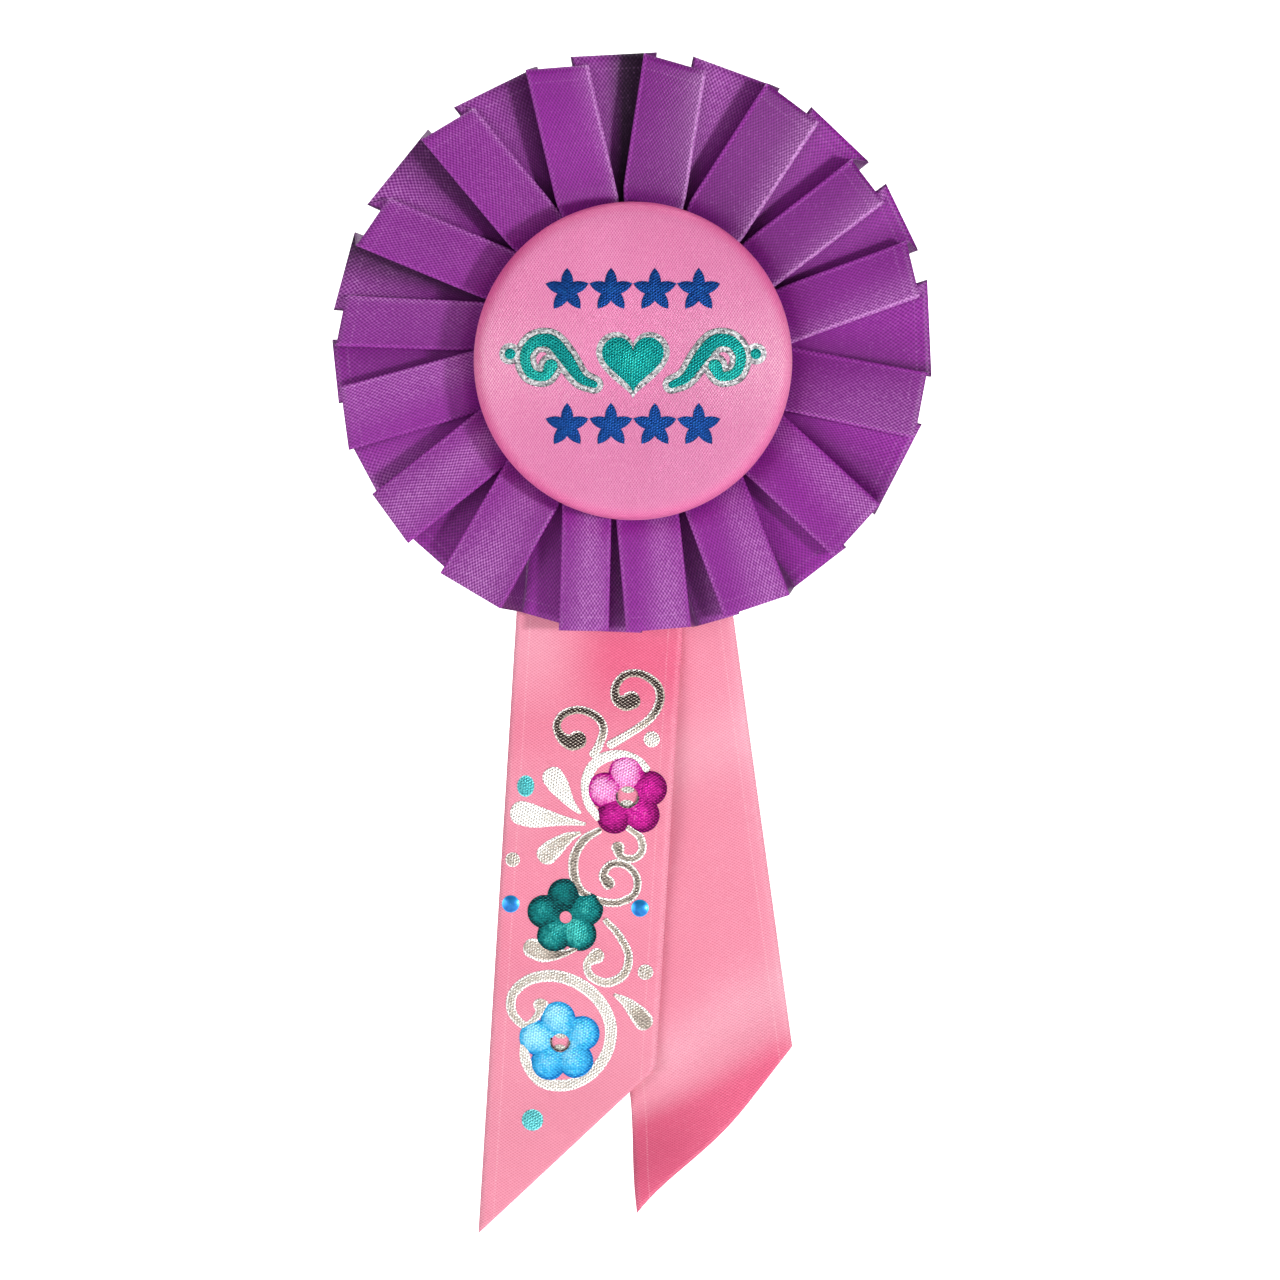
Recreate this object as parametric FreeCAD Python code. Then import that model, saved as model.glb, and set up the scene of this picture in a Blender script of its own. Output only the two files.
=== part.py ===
"""Award ribbon: a pleated rosette with a fabric-covered button, two hanging tails and a bar pin.

Millimetres, row frame: +Z up, the front of the rosette faces -Y and +X is to the right seen from
the front. The origin is on the axis of the pin needle, which is where a garment holds the ribbon.
Everything in front of the needle is one stack of layers along -Y.
"""

import FreeCAD, Part

import math
import os

from FreeCAD import Vector

# --- Rosette -----------------------------------------------------------------------------------
ROSETTE_RADIUS = 41.5  # to the outer edge of the pleats
RIBBON_WIDTH = 25.0  # the pleated ribbon, selvedge to selvedge
RIBBON_THICKNESS = 0.3
PLEATS = 16
PANEL_OUTER = 9.0  # width of a pleat's front panel at the outer edge
PANEL_INNER = 5.6  # and at the inner edge, where the pleats crowd together
PLEAT_HEIGHT = 4.6  # front of the pleats above the pleat card
PANEL_LEAN = 0.9  # a panel's clockwise edge lies this much lower than its other edge
UNDERFOLD_OUTER = 2.6  # how far the ribbon runs back under a panel, at the outer edge
UNDERFOLD_INNER = 1.6  # and at the inner edge
VALLEY_HIGH = 1.8  # outer height of a valley where it starts under a panel's clockwise edge
VALLEY_LOW = 0.6  # and where it ends under the next panel; at the inner edge it lies on the card
PIN_RISE = 9.0  # the pin needle lies this far above the rosette's centre

# --- Cards behind the pleats -------------------------------------------------------------------
PLEAT_SEAT = 4.5  # width of the pleats' inner band that is glued to the pleat card
PLEAT_CARD_THICKNESS = 1.0
BACKING_LIP = 1.0  # the backing card stands this far out past the pleat card
BACKING_THICKNESS = 1.2

# --- Button ------------------------------------------------------------------------------------
BUTTON_RADIUS = 22.2
BUTTON_DROP = 2.8  # the button is glued this far below the rosette's centre
BUTTON_EDGE_RADIUS = 2.6  # rounding of the button's front edge
BUTTON_CROWN_RADIUS = 140.0  # curvature of the button's face
BUTTON_SIDE = 1.9  # straight side below the rounded edge
COVER_THICKNESS = 0.3
SHELL_THICKNESS = 0.3
PLATE_THICKNESS = 0.4
PLATE_FLANGE = 1.5  # height of the back plate's upturned rim
PLATE_INSET = 0.2  # the back plate sits this far inside the shell's open edge
BUTTON_CLEARANCE = 0.25  # between the pleats and the cover's tucked edge
GLUE_CLEARANCE = 3.0  # between the glue and the ribbon's inner edge, or the button's rim if nearer

# --- Tails -------------------------------------------------------------------------------------
TAIL_WIDTH = 23.4
TAIL_THICKNESS = 0.3
TAIL_GAP = 0.15  # air between the two tails
FRONT_TAIL_LENGTH = 120.7  # from the hidden top end to the point, along the longer edge
FRONT_TAIL_CUT = 46.5  # degrees of the slanting lower end
FRONT_TAIL_TILT = -3.5  # degrees; positive leans the lower end towards +X
FRONT_TAIL_TOP_X = -2.6
BACK_TAIL_LENGTH = 119.0
BACK_TAIL_CUT = 44.4
BACK_TAIL_TILT = 7.8
BACK_TAIL_TOP_X = -2.3
TAIL_TOP_DROP = 5.0  # top ends of the tails below the rosette's centre
FRONT_BEND_DROP = 0.9  # the front tail bends this far below the pleats' edge
BACK_BEND_DROP = 1.5  # the back tail bends this far below the backing card's edge
BEND_GAP = 0.4  # between a tail's fixed top and its swinging part

# --- Staples -----------------------------------------------------------------------------------
STAPLE_CROWN = 12.7
STAPLE_WIRE = 0.5
STAPLE_CLINCH = 4.5  # length of each folded leg
STAPLE_X = -1.6
STAPLE_DROPS = (8.6, 12.4)  # below the rosette's centre

# --- Bar pin -----------------------------------------------------------------------------------
BAR_LENGTH = 32.0
BAR_WIDTH = 5.0
BAR_THICKNESS = 0.6
BAR_HOLE_RADIUS = 0.9
BAR_HOLE_SPACING = 9.0
PAD_THICKNESS = 0.8
PAD_MARGIN = 0.6  # the adhesive pad stands out past the bar
PIN_STANDOFF = 2.4  # from the needle's axis to the bar
NEEDLE_RADIUS = 0.4
NEEDLE_TAPER = 5.2  # length of the ground point
NEEDLE_TIP_RADIUS = 0.06
NEEDLE_TIP_INSET = 2.3  # the point stops this far short of the bar's end
EYE_RADIUS = 1.35
EYE_THICKNESS = 0.9
EAR_THICKNESS = 0.5
EAR_CLEARANCE = 0.1  # each side of the eye
EAR_REACH = 1.25  # of the ears around the rivet
HINGE_INSET = 2.6  # rivet to the bar's end
RIVET_RADIUS = 0.5
RIVET_HEAD_RADIUS = 0.9
RIVET_HEAD = 0.35
RUNNING_CLEARANCE = 0.05  # radial, rivet to eye and sleeve to housing

# --- Safety catch ------------------------------------------------------------------------------
CATCH_INSET = 3.2  # free end of the housing to the bar's end
CATCH_LENGTH = 2.2
CATCH_BORE = 0.7  # radius of the sleeve's bore, clear of the needle's point
SLEEVE_WALL = 0.75
HOUSING_WALL = 0.5
CATCH_SLOT = 1.2  # opening that the needle leaves through
COLLAR_LENGTH = 0.5
COLLAR_CLEARANCE = 0.06  # axial, collar to housing
COLLAR_RISE = 0.45  # collar beyond the sleeve's barrel
TAB_REACH = 1.4
TAB_THICKNESS = 0.6

# --- Layers, front faces counted from the needle's axis along -Y ----------------------------------
BAR_BACK = -PIN_STANDOFF
BAR_FRONT = BAR_BACK - BAR_THICKNESS
PAD_FRONT = BAR_FRONT - PAD_THICKNESS
BACKING_FRONT = PAD_FRONT - BACKING_THICKNESS
BACK_TAIL_FRONT = BACKING_FRONT - TAIL_THICKNESS
FRONT_TAIL_BACK = BACK_TAIL_FRONT - TAIL_GAP
FRONT_TAIL_FRONT = FRONT_TAIL_BACK - TAIL_THICKNESS
PLEAT_CARD_FRONT = FRONT_TAIL_FRONT - PLEAT_CARD_THICKNESS
BUTTON_BACK = PLEAT_CARD_FRONT - PLEAT_HEIGHT - BUTTON_CLEARANCE - COVER_THICKNESS
PLATE_BACK = BUTTON_BACK - PLATE_INSET

# --- Radii and heights that follow ----------------------------------------------------------------
CENTRE_Z = -PIN_RISE
RIBBON_INNER_RADIUS = ROSETTE_RADIUS - RIBBON_WIDTH
PLEAT_CARD_RADIUS = RIBBON_INNER_RADIUS + PLEAT_SEAT
BACKING_RADIUS = PLEAT_CARD_RADIUS + BACKING_LIP
PLATE_RADIUS = BUTTON_RADIUS - 2 * COVER_THICKNESS - SHELL_THICKNESS
GLUE_RADIUS = min(RIBBON_INNER_RADIUS, PLATE_RADIUS) - GLUE_CLEARANCE
FRONT_BEND_Z = CENTRE_Z - ROSETTE_RADIUS - FRONT_BEND_DROP
BACK_BEND_Z = CENTRE_Z - BACKING_RADIUS - BACK_BEND_DROP
HINGE_X = -BAR_LENGTH / 2 + HINGE_INSET
NEEDLE_TIP_X = BAR_LENGTH / 2 - NEEDLE_TIP_INSET
CATCH_END_X = BAR_LENGTH / 2 - CATCH_INSET
SLEEVE_RADIUS = CATCH_BORE + SLEEVE_WALL
HOUSING_BORE = SLEEVE_RADIUS + RUNNING_CLEARANCE
HOUSING_RADIUS = HOUSING_BORE + HOUSING_WALL

FORWARD = Vector(0, -1, 0)
X_AXIS = Vector(1, 0, 0)
Z_AXIS = Vector(0, 0, 1)


def box(x, y, z):
    """A box from (low, high) pairs along each axis."""
    low = Vector(min(x), min(y), min(z))
    size = [max(pair) - min(pair) for pair in (x, y, z)]
    return Part.makeBox(*size, low)


def disc(radius, back, front, centre_z=CENTRE_Z):
    """A round layer between two depths, seen from the front."""
    return Part.makeCylinder(radius, back - front, Vector(0, back, centre_z), FORWARD)


def rod(radius, x_start, x_end):
    """A cylinder on the needle's axis."""
    return Part.makeCylinder(radius, x_end - x_start, Vector(x_start, 0, 0), X_AXIS)


def upright(radius, x, z_low, z_high):
    """A cylinder along Z on the hinge's line."""
    return Part.makeCylinder(radius, z_high - z_low, Vector(x, 0, z_low), Z_AXIS)


# --- Pleated ribbon -------------------------------------------------------------------------------


def pleat_fold_line(distance, panel, underfold, valley_high, valley_low):
    """Centre line of one box pleat in the plane at that distance out, as (across, height) points.

    It runs clockwise from the middle of one valley to the middle of the next.
    """
    valley_half = distance * math.tan(math.pi / PLEATS)
    valley_middle = (valley_high + valley_low) / 2
    top = PLEAT_HEIGHT - RIBBON_THICKNESS / 2
    return [
        (-valley_half, valley_middle),
        (-panel / 2 + underfold, valley_low),
        (-panel / 2, top),
        (panel / 2, top - PANEL_LEAN),
        (panel / 2 - underfold, valley_high),
        (valley_half, valley_middle),
    ]


def offset_line(points, distance):
    """The fold line moved sideways by that distance, its corners mitred, its ends kept in place."""
    moved = []
    for i, (across, height) in enumerate(points):
        if i in (0, len(points) - 1):
            moved.append((across, height + distance))
            continue
        before = Vector(across - points[i - 1][0], height - points[i - 1][1], 0).normalize()
        after = Vector(points[i + 1][0] - across, points[i + 1][1] - height, 0).normalize()
        normals = Vector(-before.y, before.x, 0) + Vector(-after.y, after.x, 0)
        mitre = normals * (2 * distance / normals.dot(normals))
        moved.append((across + mitre.x, height + mitre.y))
    return moved


def pleat_section(distance, line, angle):
    """The ribbon's closed section round one fold line, at that distance along the pleat's angle."""
    half = RIBBON_THICKNESS / 2
    outline = offset_line(line, half) + offset_line(line, -half)[::-1]
    outward = Vector(math.sin(angle), 0, math.cos(angle))
    clockwise = Vector(math.cos(angle), 0, -math.sin(angle))
    origin = Vector(0, PLEAT_CARD_FRONT, CENTRE_Z) + outward * distance
    points = [origin + clockwise * a + FORWARD * h for a, h in outline]
    return Part.makePolygon(points + points[:1])


def make_pleated_ribbon():
    """Sixteen box pleats, fanned round the centre and joined into one closed ribbon."""
    flat = RIBBON_THICKNESS / 2
    inner_line = pleat_fold_line(RIBBON_INNER_RADIUS, PANEL_INNER, UNDERFOLD_INNER, flat, flat)
    outer_line = pleat_fold_line(
        ROSETTE_RADIUS, PANEL_OUTER, UNDERFOLD_OUTER, VALLEY_HIGH, VALLEY_LOW
    )
    pleats = []
    for i in range(PLEATS):
        angle = 2 * math.pi * i / PLEATS
        inner = pleat_section(RIBBON_INNER_RADIUS, inner_line, angle)
        outer = pleat_section(ROSETTE_RADIUS, outer_line, angle)
        pleats.append(Part.makeLoft([inner, outer], True, True))
    return pleats[0].multiFuse(pleats[1:])


# --- Button ---------------------------------------------------------------------------------------


class Dome:
    """The button's front as a profile of radius against height above the button's open edge.

    A shallow crown arc runs into an edge arc and then a straight side. Each layer is the same
    profile grown by an offset, because all its arcs keep their centres.
    """

    def __init__(self):
        self.side = BUTTON_RADIUS - COVER_THICKNESS
        self.edge = BUTTON_EDGE_RADIUS - COVER_THICKNESS
        span = BUTTON_CROWN_RADIUS - self.edge
        reach = self.side - self.edge
        self.edge_centre = Vector(reach, BUTTON_SIDE, 0)
        self.crown_centre = Vector(0, BUTTON_SIDE - math.sqrt(span**2 - reach**2), 0)
        self.join = (self.edge_centre - self.crown_centre).normalize()

    def edges(self, offset, bottom):
        """Edges from the crown's middle to the bottom of the side, for one offset."""
        crown = BUTTON_CROWN_RADIUS + offset
        edge = self.edge + offset
        middle = self.crown_centre + Vector(0, crown, 0)
        half_join = (Vector(0, 1, 0) + self.join).normalize()
        joined = self.edge_centre + self.join * edge
        half_edge = (self.join + Vector(1, 0, 0)).normalize()
        shoulder = self.edge_centre + Vector(edge, 0, 0)
        foot = Vector(shoulder.x, bottom, 0)
        return [
            Part.Arc(middle, self.crown_centre + half_join * crown, joined).toShape(),
            Part.Arc(joined, self.edge_centre + half_edge * edge, shoulder).toShape(),
            Part.makeLine(shoulder, foot),
        ]

    def layer(self, inner, outer, bottom):
        """The solid between two offsets of the profile, turned round the button's axis."""
        inside = self.edges(inner, bottom)
        outside = self.edges(outer, bottom)
        rim = Part.makeLine(outside[-1].lastVertex().Point, inside[-1].lastVertex().Point)
        axis = Part.makeLine(inside[0].firstVertex().Point, outside[0].firstVertex().Point)
        ordered = Part.sortEdges(outside + inside + [rim, axis])[0]
        return Part.Face(Part.Wire(ordered)).revolve(Vector(), Vector(0, 1, 0), 360)


def place_button(shape):
    """Turns a shape made round +Y, with its open edge at 0, to face forward on the rosette."""
    placed = shape.copy()
    placed.rotate(Vector(), Z_AXIS, 180)
    placed.translate(Vector(0, BUTTON_BACK, CENTRE_Z - BUTTON_DROP))
    return placed


def ring(outer, inner, low, high):
    """A ring round +Y between two heights."""
    up = Vector(0, 1, 0)
    base = Vector(0, low, 0)
    return Part.makeCylinder(outer, high - low, base, up).cut(
        Part.makeCylinder(inner, high - low, base, up)
    )


def make_button():
    """Cover, shell and back plate of the button. The cover's edge is tucked in round the shell's."""
    dome = Dome()
    shell_bore = dome.side - SHELL_THICKNESS
    tuck_top = PLATE_INSET + PLATE_FLANGE
    shell = dome.layer(-SHELL_THICKNESS, 0, 0)
    cover = dome.layer(0, COVER_THICKNESS, -COVER_THICKNESS)
    cover = cover.fuse(ring(BUTTON_RADIUS, PLATE_RADIUS, -COVER_THICKNESS, 0))
    cover = cover.fuse(ring(shell_bore, PLATE_RADIUS, -COVER_THICKNESS, tuck_top))
    flange_bore = PLATE_RADIUS - PLATE_THICKNESS
    plate = Part.makeCylinder(
        PLATE_RADIUS, PLATE_THICKNESS, Vector(0, PLATE_INSET, 0), Vector(0, 1, 0)
    )
    plate = plate.fuse(ring(PLATE_RADIUS, flange_bore, PLATE_INSET, tuck_top))
    return place_button(cover.removeSplitter()), place_button(shell), place_button(plate)


# --- Tails and staples ----------------------------------------------------------------------------


def tail_blank(top_x, tilt, length, cut, back, front):
    """A whole tail: a strip whose lower end slants down to a point at its -X edge."""
    drop = TAIL_WIDTH * math.tan(math.radians(cut))
    half = TAIL_WIDTH / 2
    corners = [(-half, 0), (half, 0), (half, drop - length), (-half, -length)]
    points = [Vector(x, back, z) for x, z in corners]
    strip = Part.Face(Part.makePolygon(points + points[:1])).extrude(FORWARD * (back - front))
    strip.rotate(Vector(), Vector(0, -1, 0), tilt)
    strip.translate(Vector(top_x, 0, CENTRE_Z - TAIL_TOP_DROP))
    return strip


def split_tail(blank, bend_z):
    """The tail's fixed top and its swinging part, either side of the bend."""
    bounds = blank.BoundBox
    x = (bounds.XMin - 1, bounds.XMax + 1)
    y = (bounds.YMin - 1, bounds.YMax + 1)
    top = blank.common(box(x, y, (bend_z + BEND_GAP / 2, bounds.ZMax + 1)))
    lower = blank.common(box(x, y, (bounds.ZMin - 1, bend_z - BEND_GAP / 2)))
    return top, lower


def make_staple(drop):
    """A staple with its crown on the backing card and its legs folded on the pleat card."""
    z = CENTRE_Z - drop
    wire = (z - STAPLE_WIRE / 2, z + STAPLE_WIRE / 2)
    crown_back = PAD_FRONT + STAPLE_WIRE
    clinch_front = PLEAT_CARD_FRONT - STAPLE_WIRE
    x_low = STAPLE_X - STAPLE_CROWN / 2
    x_high = STAPLE_X + STAPLE_CROWN / 2
    crown = box((x_low, x_high), (PAD_FRONT, crown_back), wire)
    staple = crown
    for outer, inward in ((x_low, 1), (x_high, -1)):
        inner = outer + inward * STAPLE_WIRE
        folded = outer + inward * STAPLE_CLINCH
        staple = staple.fuse(box((outer, inner), (clinch_front, crown_back), wire))
        staple = staple.fuse(box((outer, folded), (clinch_front, PLEAT_CARD_FRONT), wire))
    return staple.removeSplitter()


# --- Bar pin and catch ----------------------------------------------------------------------------


def make_bar():
    """The stamped bar with its two sewing holes and the hinge's ears."""
    half = BAR_LENGTH / 2
    end = BAR_WIDTH / 2
    y = (BAR_FRONT, BAR_BACK)
    bar = box((-half + end, half - end), y, (-end, end))
    for x in (-half + end, half - end):
        bar = bar.fuse(
            Part.makeCylinder(end, BAR_THICKNESS, Vector(x, BAR_BACK, 0), FORWARD)
        )
    for side in (-1, 1):
        centre = Vector(side * BAR_HOLE_SPACING / 2, BAR_BACK, 0)
        bar = bar.cut(Part.makeCylinder(BAR_HOLE_RADIUS, BAR_THICKNESS, centre, FORWARD))
        inner = EYE_THICKNESS / 2 + EAR_CLEARANCE
        low, high = sorted((side * inner, side * (inner + EAR_THICKNESS)))
        ear = box((HINGE_X - EAR_REACH, HINGE_X + EAR_REACH), (BAR_BACK, 0), (low, high))
        ear = ear.fuse(upright(EAR_REACH, HINGE_X, low, high))
        bar = bar.fuse(ear.cut(upright(RIVET_RADIUS, HINGE_X, low, high)))
    return bar.removeSplitter()


def make_rivet():
    """The hinge's rivet: a shank through both ears with a head on each side."""
    grip = EYE_THICKNESS / 2 + EAR_CLEARANCE + EAR_THICKNESS
    rivet = upright(RIVET_RADIUS, HINGE_X, -grip - RIVET_HEAD, grip + RIVET_HEAD)
    for low in (-grip - RIVET_HEAD, grip):
        rivet = rivet.fuse(upright(RIVET_HEAD_RADIUS, HINGE_X, low, low + RIVET_HEAD))
    return rivet.removeSplitter()


def make_needle():
    """The needle: a flattened eye on the rivet, a round shank and a ground point."""
    shank_end = NEEDLE_TIP_X - NEEDLE_TAPER
    needle = rod(NEEDLE_RADIUS, HINGE_X, shank_end)
    needle = needle.fuse(
        Part.makeCone(
            NEEDLE_RADIUS, NEEDLE_TIP_RADIUS, NEEDLE_TAPER, Vector(shank_end, 0, 0), X_AXIS
        )
    )
    half = EYE_THICKNESS / 2
    needle = needle.fuse(upright(EYE_RADIUS, HINGE_X, -half, half))
    return needle.cut(upright(RIVET_RADIUS + RUNNING_CLEARANCE, HINGE_X, -half, half))


def slot_cutter(x_start, x_end):
    """What is cut away so that the needle can leave the catch towards +Y."""
    return box((x_start, x_end), (0, HOUSING_RADIUS + 1), (-CATCH_SLOT / 2, CATCH_SLOT / 2))


def make_catch_housing():
    """The fixed C-shaped housing, on a foot on the bar."""
    start = CATCH_END_X - CATCH_LENGTH
    housing = rod(HOUSING_RADIUS, start, CATCH_END_X)
    foot_width = HOUSING_RADIUS
    foot = box((start, CATCH_END_X), (BAR_BACK, 0), (-foot_width / 2, foot_width / 2))
    housing = housing.fuse(foot).cut(rod(HOUSING_BORE, start, CATCH_END_X))
    return housing.cut(slot_cutter(start, CATCH_END_X)).removeSplitter()


def make_catch_sleeve():
    """The turning sleeve, open towards +Y at rest, with a collar at each end and a thumb tab."""
    start = CATCH_END_X - CATCH_LENGTH - COLLAR_CLEARANCE - COLLAR_LENGTH
    end = CATCH_END_X + COLLAR_CLEARANCE + COLLAR_LENGTH
    collar = SLEEVE_RADIUS + COLLAR_RISE
    sleeve = rod(SLEEVE_RADIUS, start, end)
    sleeve = sleeve.fuse(rod(collar, start, start + COLLAR_LENGTH))
    sleeve = sleeve.fuse(rod(collar, end - COLLAR_LENGTH, end))
    tab_end = -collar - TAB_REACH
    tab = box(
        (end - COLLAR_LENGTH, end), (-TAB_THICKNESS / 2, TAB_THICKNESS / 2), (tab_end, -CATCH_BORE)
    )
    sleeve = sleeve.fuse(tab).cut(rod(CATCH_BORE, start, end))
    return sleeve.cut(slot_cutter(start, end)).removeSplitter()


def make_adhesive_pad():
    """Foam tape between the bar and the backing card, rounded like the bar."""
    end = BAR_WIDTH / 2 + PAD_MARGIN
    reach = BAR_LENGTH / 2 + PAD_MARGIN - end
    pad = box((-reach, reach), (PAD_FRONT, BAR_FRONT), (-end, end))
    for x in (-reach, reach):
        pad = pad.fuse(Part.makeCylinder(end, PAD_THICKNESS, Vector(x, BAR_FRONT, 0), FORWARD))
    return pad.removeSplitter()


def make_parts():
    """Every sub-part by its node's name."""
    cover, shell, plate = make_button()
    staples = [make_staple(drop) for drop in STAPLE_DROPS]
    front_top, front_tail = split_tail(
        tail_blank(
            FRONT_TAIL_TOP_X, FRONT_TAIL_TILT, FRONT_TAIL_LENGTH, FRONT_TAIL_CUT,
            FRONT_TAIL_BACK, FRONT_TAIL_FRONT,
        ),
        FRONT_BEND_Z,
    )
    back_top, back_tail = split_tail(
        tail_blank(
            BACK_TAIL_TOP_X, BACK_TAIL_TILT, BACK_TAIL_LENGTH, BACK_TAIL_CUT,
            BACKING_FRONT, BACK_TAIL_FRONT,
        ),
        BACK_BEND_Z,
    )
    stapled = {
        "backing_card": disc(BACKING_RADIUS, PAD_FRONT, BACKING_FRONT),
        "back_tail_top": back_top,
        "front_tail_top": front_top,
        "pleat_card": disc(PLEAT_CARD_RADIUS, FRONT_TAIL_FRONT, PLEAT_CARD_FRONT),
        "hot_glue": disc(GLUE_RADIUS, PLEAT_CARD_FRONT, PLATE_BACK),
    }
    parts = {name: shape.cut(staples) for name, shape in stapled.items()}
    parts.update(
        {
            "button_fabric": cover,
            "button_shell": shell,
            "button_back_plate": plate,
            "pleated_ribbon": make_pleated_ribbon(),
            "front_tail": front_tail,
            "back_tail": back_tail,
            "tail_staples": Part.makeCompound(staples),
            "adhesive_pad": make_adhesive_pad(),
            "pin_bar": make_bar(),
            "hinge_rivet": make_rivet(),
            "pin_needle": make_needle(),
            "catch_housing": make_catch_housing(),
            "catch_sleeve": make_catch_sleeve(),
        }
    )
    return parts


def main():
    os.makedirs("parts", exist_ok=True)
    for name, shape in sorted(make_parts().items()):
        closed = all(solid.isValid() and solid.Volume > 0 for solid in shape.Solids)
        print(name, len(shape.Solids), "solids", round(shape.Volume, 2), "mm3", closed)
        if not shape.Solids or not closed:
            raise ValueError(name + " isn't made of closed solids")
        shape.exportStep("parts/" + name + ".step")


main()
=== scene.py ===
"""Award ribbon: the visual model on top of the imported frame.

Positions come from the frame's nodes. The soft pieces are worked out in millimetres and scaled to
metres when their meshes are made. Seen from the front, +X is right, +Z is up and -Y is towards
the viewer. "Clockwise" is always as seen from the front.
"""

import math

import bmesh
import bpy
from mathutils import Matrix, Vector, noise


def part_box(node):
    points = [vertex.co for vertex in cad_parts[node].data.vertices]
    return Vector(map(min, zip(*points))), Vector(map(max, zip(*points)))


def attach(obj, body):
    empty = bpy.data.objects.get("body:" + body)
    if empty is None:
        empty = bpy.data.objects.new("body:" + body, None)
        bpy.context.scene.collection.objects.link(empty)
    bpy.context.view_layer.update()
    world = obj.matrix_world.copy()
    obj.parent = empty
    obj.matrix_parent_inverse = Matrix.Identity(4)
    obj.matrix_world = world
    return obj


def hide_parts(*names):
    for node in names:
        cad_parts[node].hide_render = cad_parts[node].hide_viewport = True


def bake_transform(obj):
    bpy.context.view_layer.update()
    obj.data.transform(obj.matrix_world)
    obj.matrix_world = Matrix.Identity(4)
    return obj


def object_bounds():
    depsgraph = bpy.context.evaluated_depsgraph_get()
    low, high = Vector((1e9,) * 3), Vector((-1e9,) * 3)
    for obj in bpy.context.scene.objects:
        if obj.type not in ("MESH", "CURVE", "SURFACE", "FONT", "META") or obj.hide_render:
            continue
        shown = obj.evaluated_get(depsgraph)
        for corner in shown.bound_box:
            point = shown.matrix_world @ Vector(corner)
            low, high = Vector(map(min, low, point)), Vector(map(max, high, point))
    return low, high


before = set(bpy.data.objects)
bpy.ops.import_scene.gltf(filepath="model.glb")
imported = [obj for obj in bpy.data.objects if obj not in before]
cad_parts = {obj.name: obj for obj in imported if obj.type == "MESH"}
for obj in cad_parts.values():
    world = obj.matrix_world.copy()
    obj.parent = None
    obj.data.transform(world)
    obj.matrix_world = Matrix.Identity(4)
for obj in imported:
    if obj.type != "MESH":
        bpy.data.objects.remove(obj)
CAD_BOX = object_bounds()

MM = 0.001
ROOT = "rosette"
FRONT_BODY = "front_tail_body"


def node_box(name):
    """A node's lowest and highest corner, in millimetres."""
    low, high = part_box(name)
    return Vector(low) / MM, Vector(high) / MM


# --- Reference planes and points from the frame, in millimetres ---
card_low, card_high = node_box("pleat_card")
CARD_Y = card_low.y  # front face of the pleat card
CENTRE_Z = (card_low.z + card_high.z) / 2
button_low, button_high = node_box("button_fabric")
BUTTON_Z = (button_low.z + button_high.z) / 2
BUTTON_RADIUS = (button_high.z - button_low.z) / 2
BUTTON_DROP = CENTRE_Z - BUTTON_Z  # the button sits this far below the rosette's middle


def tail_places(node):
    """A tail's depth, and the height where its fixed top ends and its lower part begins."""
    low, high = node_box(node)
    top_low, _ = node_box(node + "_top")
    return (low.y + high.y) / 2, (high.z + top_low.z) / 2


FRONT_TAIL_Y, FRONT_BEND_Z = tail_places("front_tail")
BACK_TAIL_Y, BACK_BEND_Z = tail_places("back_tail")

# --- Pleats ---
RIBBON_WIDTH = 25.0
FOLD_RADIUS = 0.26
CLOTH = 0.2
SELVEDGE = 2.0  # distance of the woven line from a ribbon's edge
# Each pleat, in clockwise order from just left of the top: angle of its rim's middle, how far its
# panel leans from that angle, panel width, how far its rim is cut askew, distance of the rim from
# the centre, heights of its counter-clockwise and clockwise edges, height of the valley where it
# starts under the clockwise edge, height of the valley that ends under the counter-clockwise
# edge, and how far it ends under it.
PLEATS = [
    (-15.6, 2.9, 8.8, 7.8, 39.7, 4.5, 3.0, 2.0, 0.3, 2.0),
    (8.5, 0.6, 9.0, 6.4, 39.4, 4.6, 3.0, 2.0, 0.3, 2.0),
    (33.7, -0.4, 9.2, 3.1, 40.1, 4.6, 2.9, 2.0, 0.3, 2.2),
    (55.6, -2.9, 7.7, -0.6, 39.7, 4.2, 2.8, 1.9, 0.4, 2.0),
    (75.4, -5.1, 8.1, 5.9, 40.4, 3.6, 2.8, 1.8, 0.5, 2.0),
    (102.4, -0.4, 9.4, -1.3, 41.2, 2.6, 3.2, 1.4, 1.6, 0.8),
    (130.1, 3.1, 9.8, -1.1, 40.9, 3.6, 3.6, 1.2, 0.3, 1.8),
    (155.0, 4.7, 9.5, 1.8, 40.8, 3.8, 4.0, 0.8, 0.4, -1.2),
    (175.0, 0.0, 8.9, 0.2, 40.4, 4.2, 4.2, 0.7, 0.3, -0.8),
    (189.6, -8.0, 6.9, -0.6, 41.0, 4.3, 4.2, 0.7, 0.3, 1.0),
    (213.2, -2.5, 9.5, 0.0, 41.6, 3.8, 4.3, 0.8, 0.5, -3.0),
    (233.8, -1.9, 8.5, 2.1, 42.0, 3.6, 4.2, 1.0, 0.6, 1.5),
    (255.0, -0.1, 8.9, 7.7, 41.7, 2.8, 3.8, 1.2, 1.4, 0.8),
    (274.0, -1.2, 7.2, 8.7, 40.9, 3.0, 3.2, 1.6, 1.2, 1.2),
    (294.6, -1.7, 8.0, 11.0, 40.0, 4.3, 3.0, 2.0, 0.4, 2.0),
    (319.5, 1.0, 8.6, 8.1, 39.9, 4.5, 3.0, 2.0, 0.3, 2.0),
]
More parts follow.
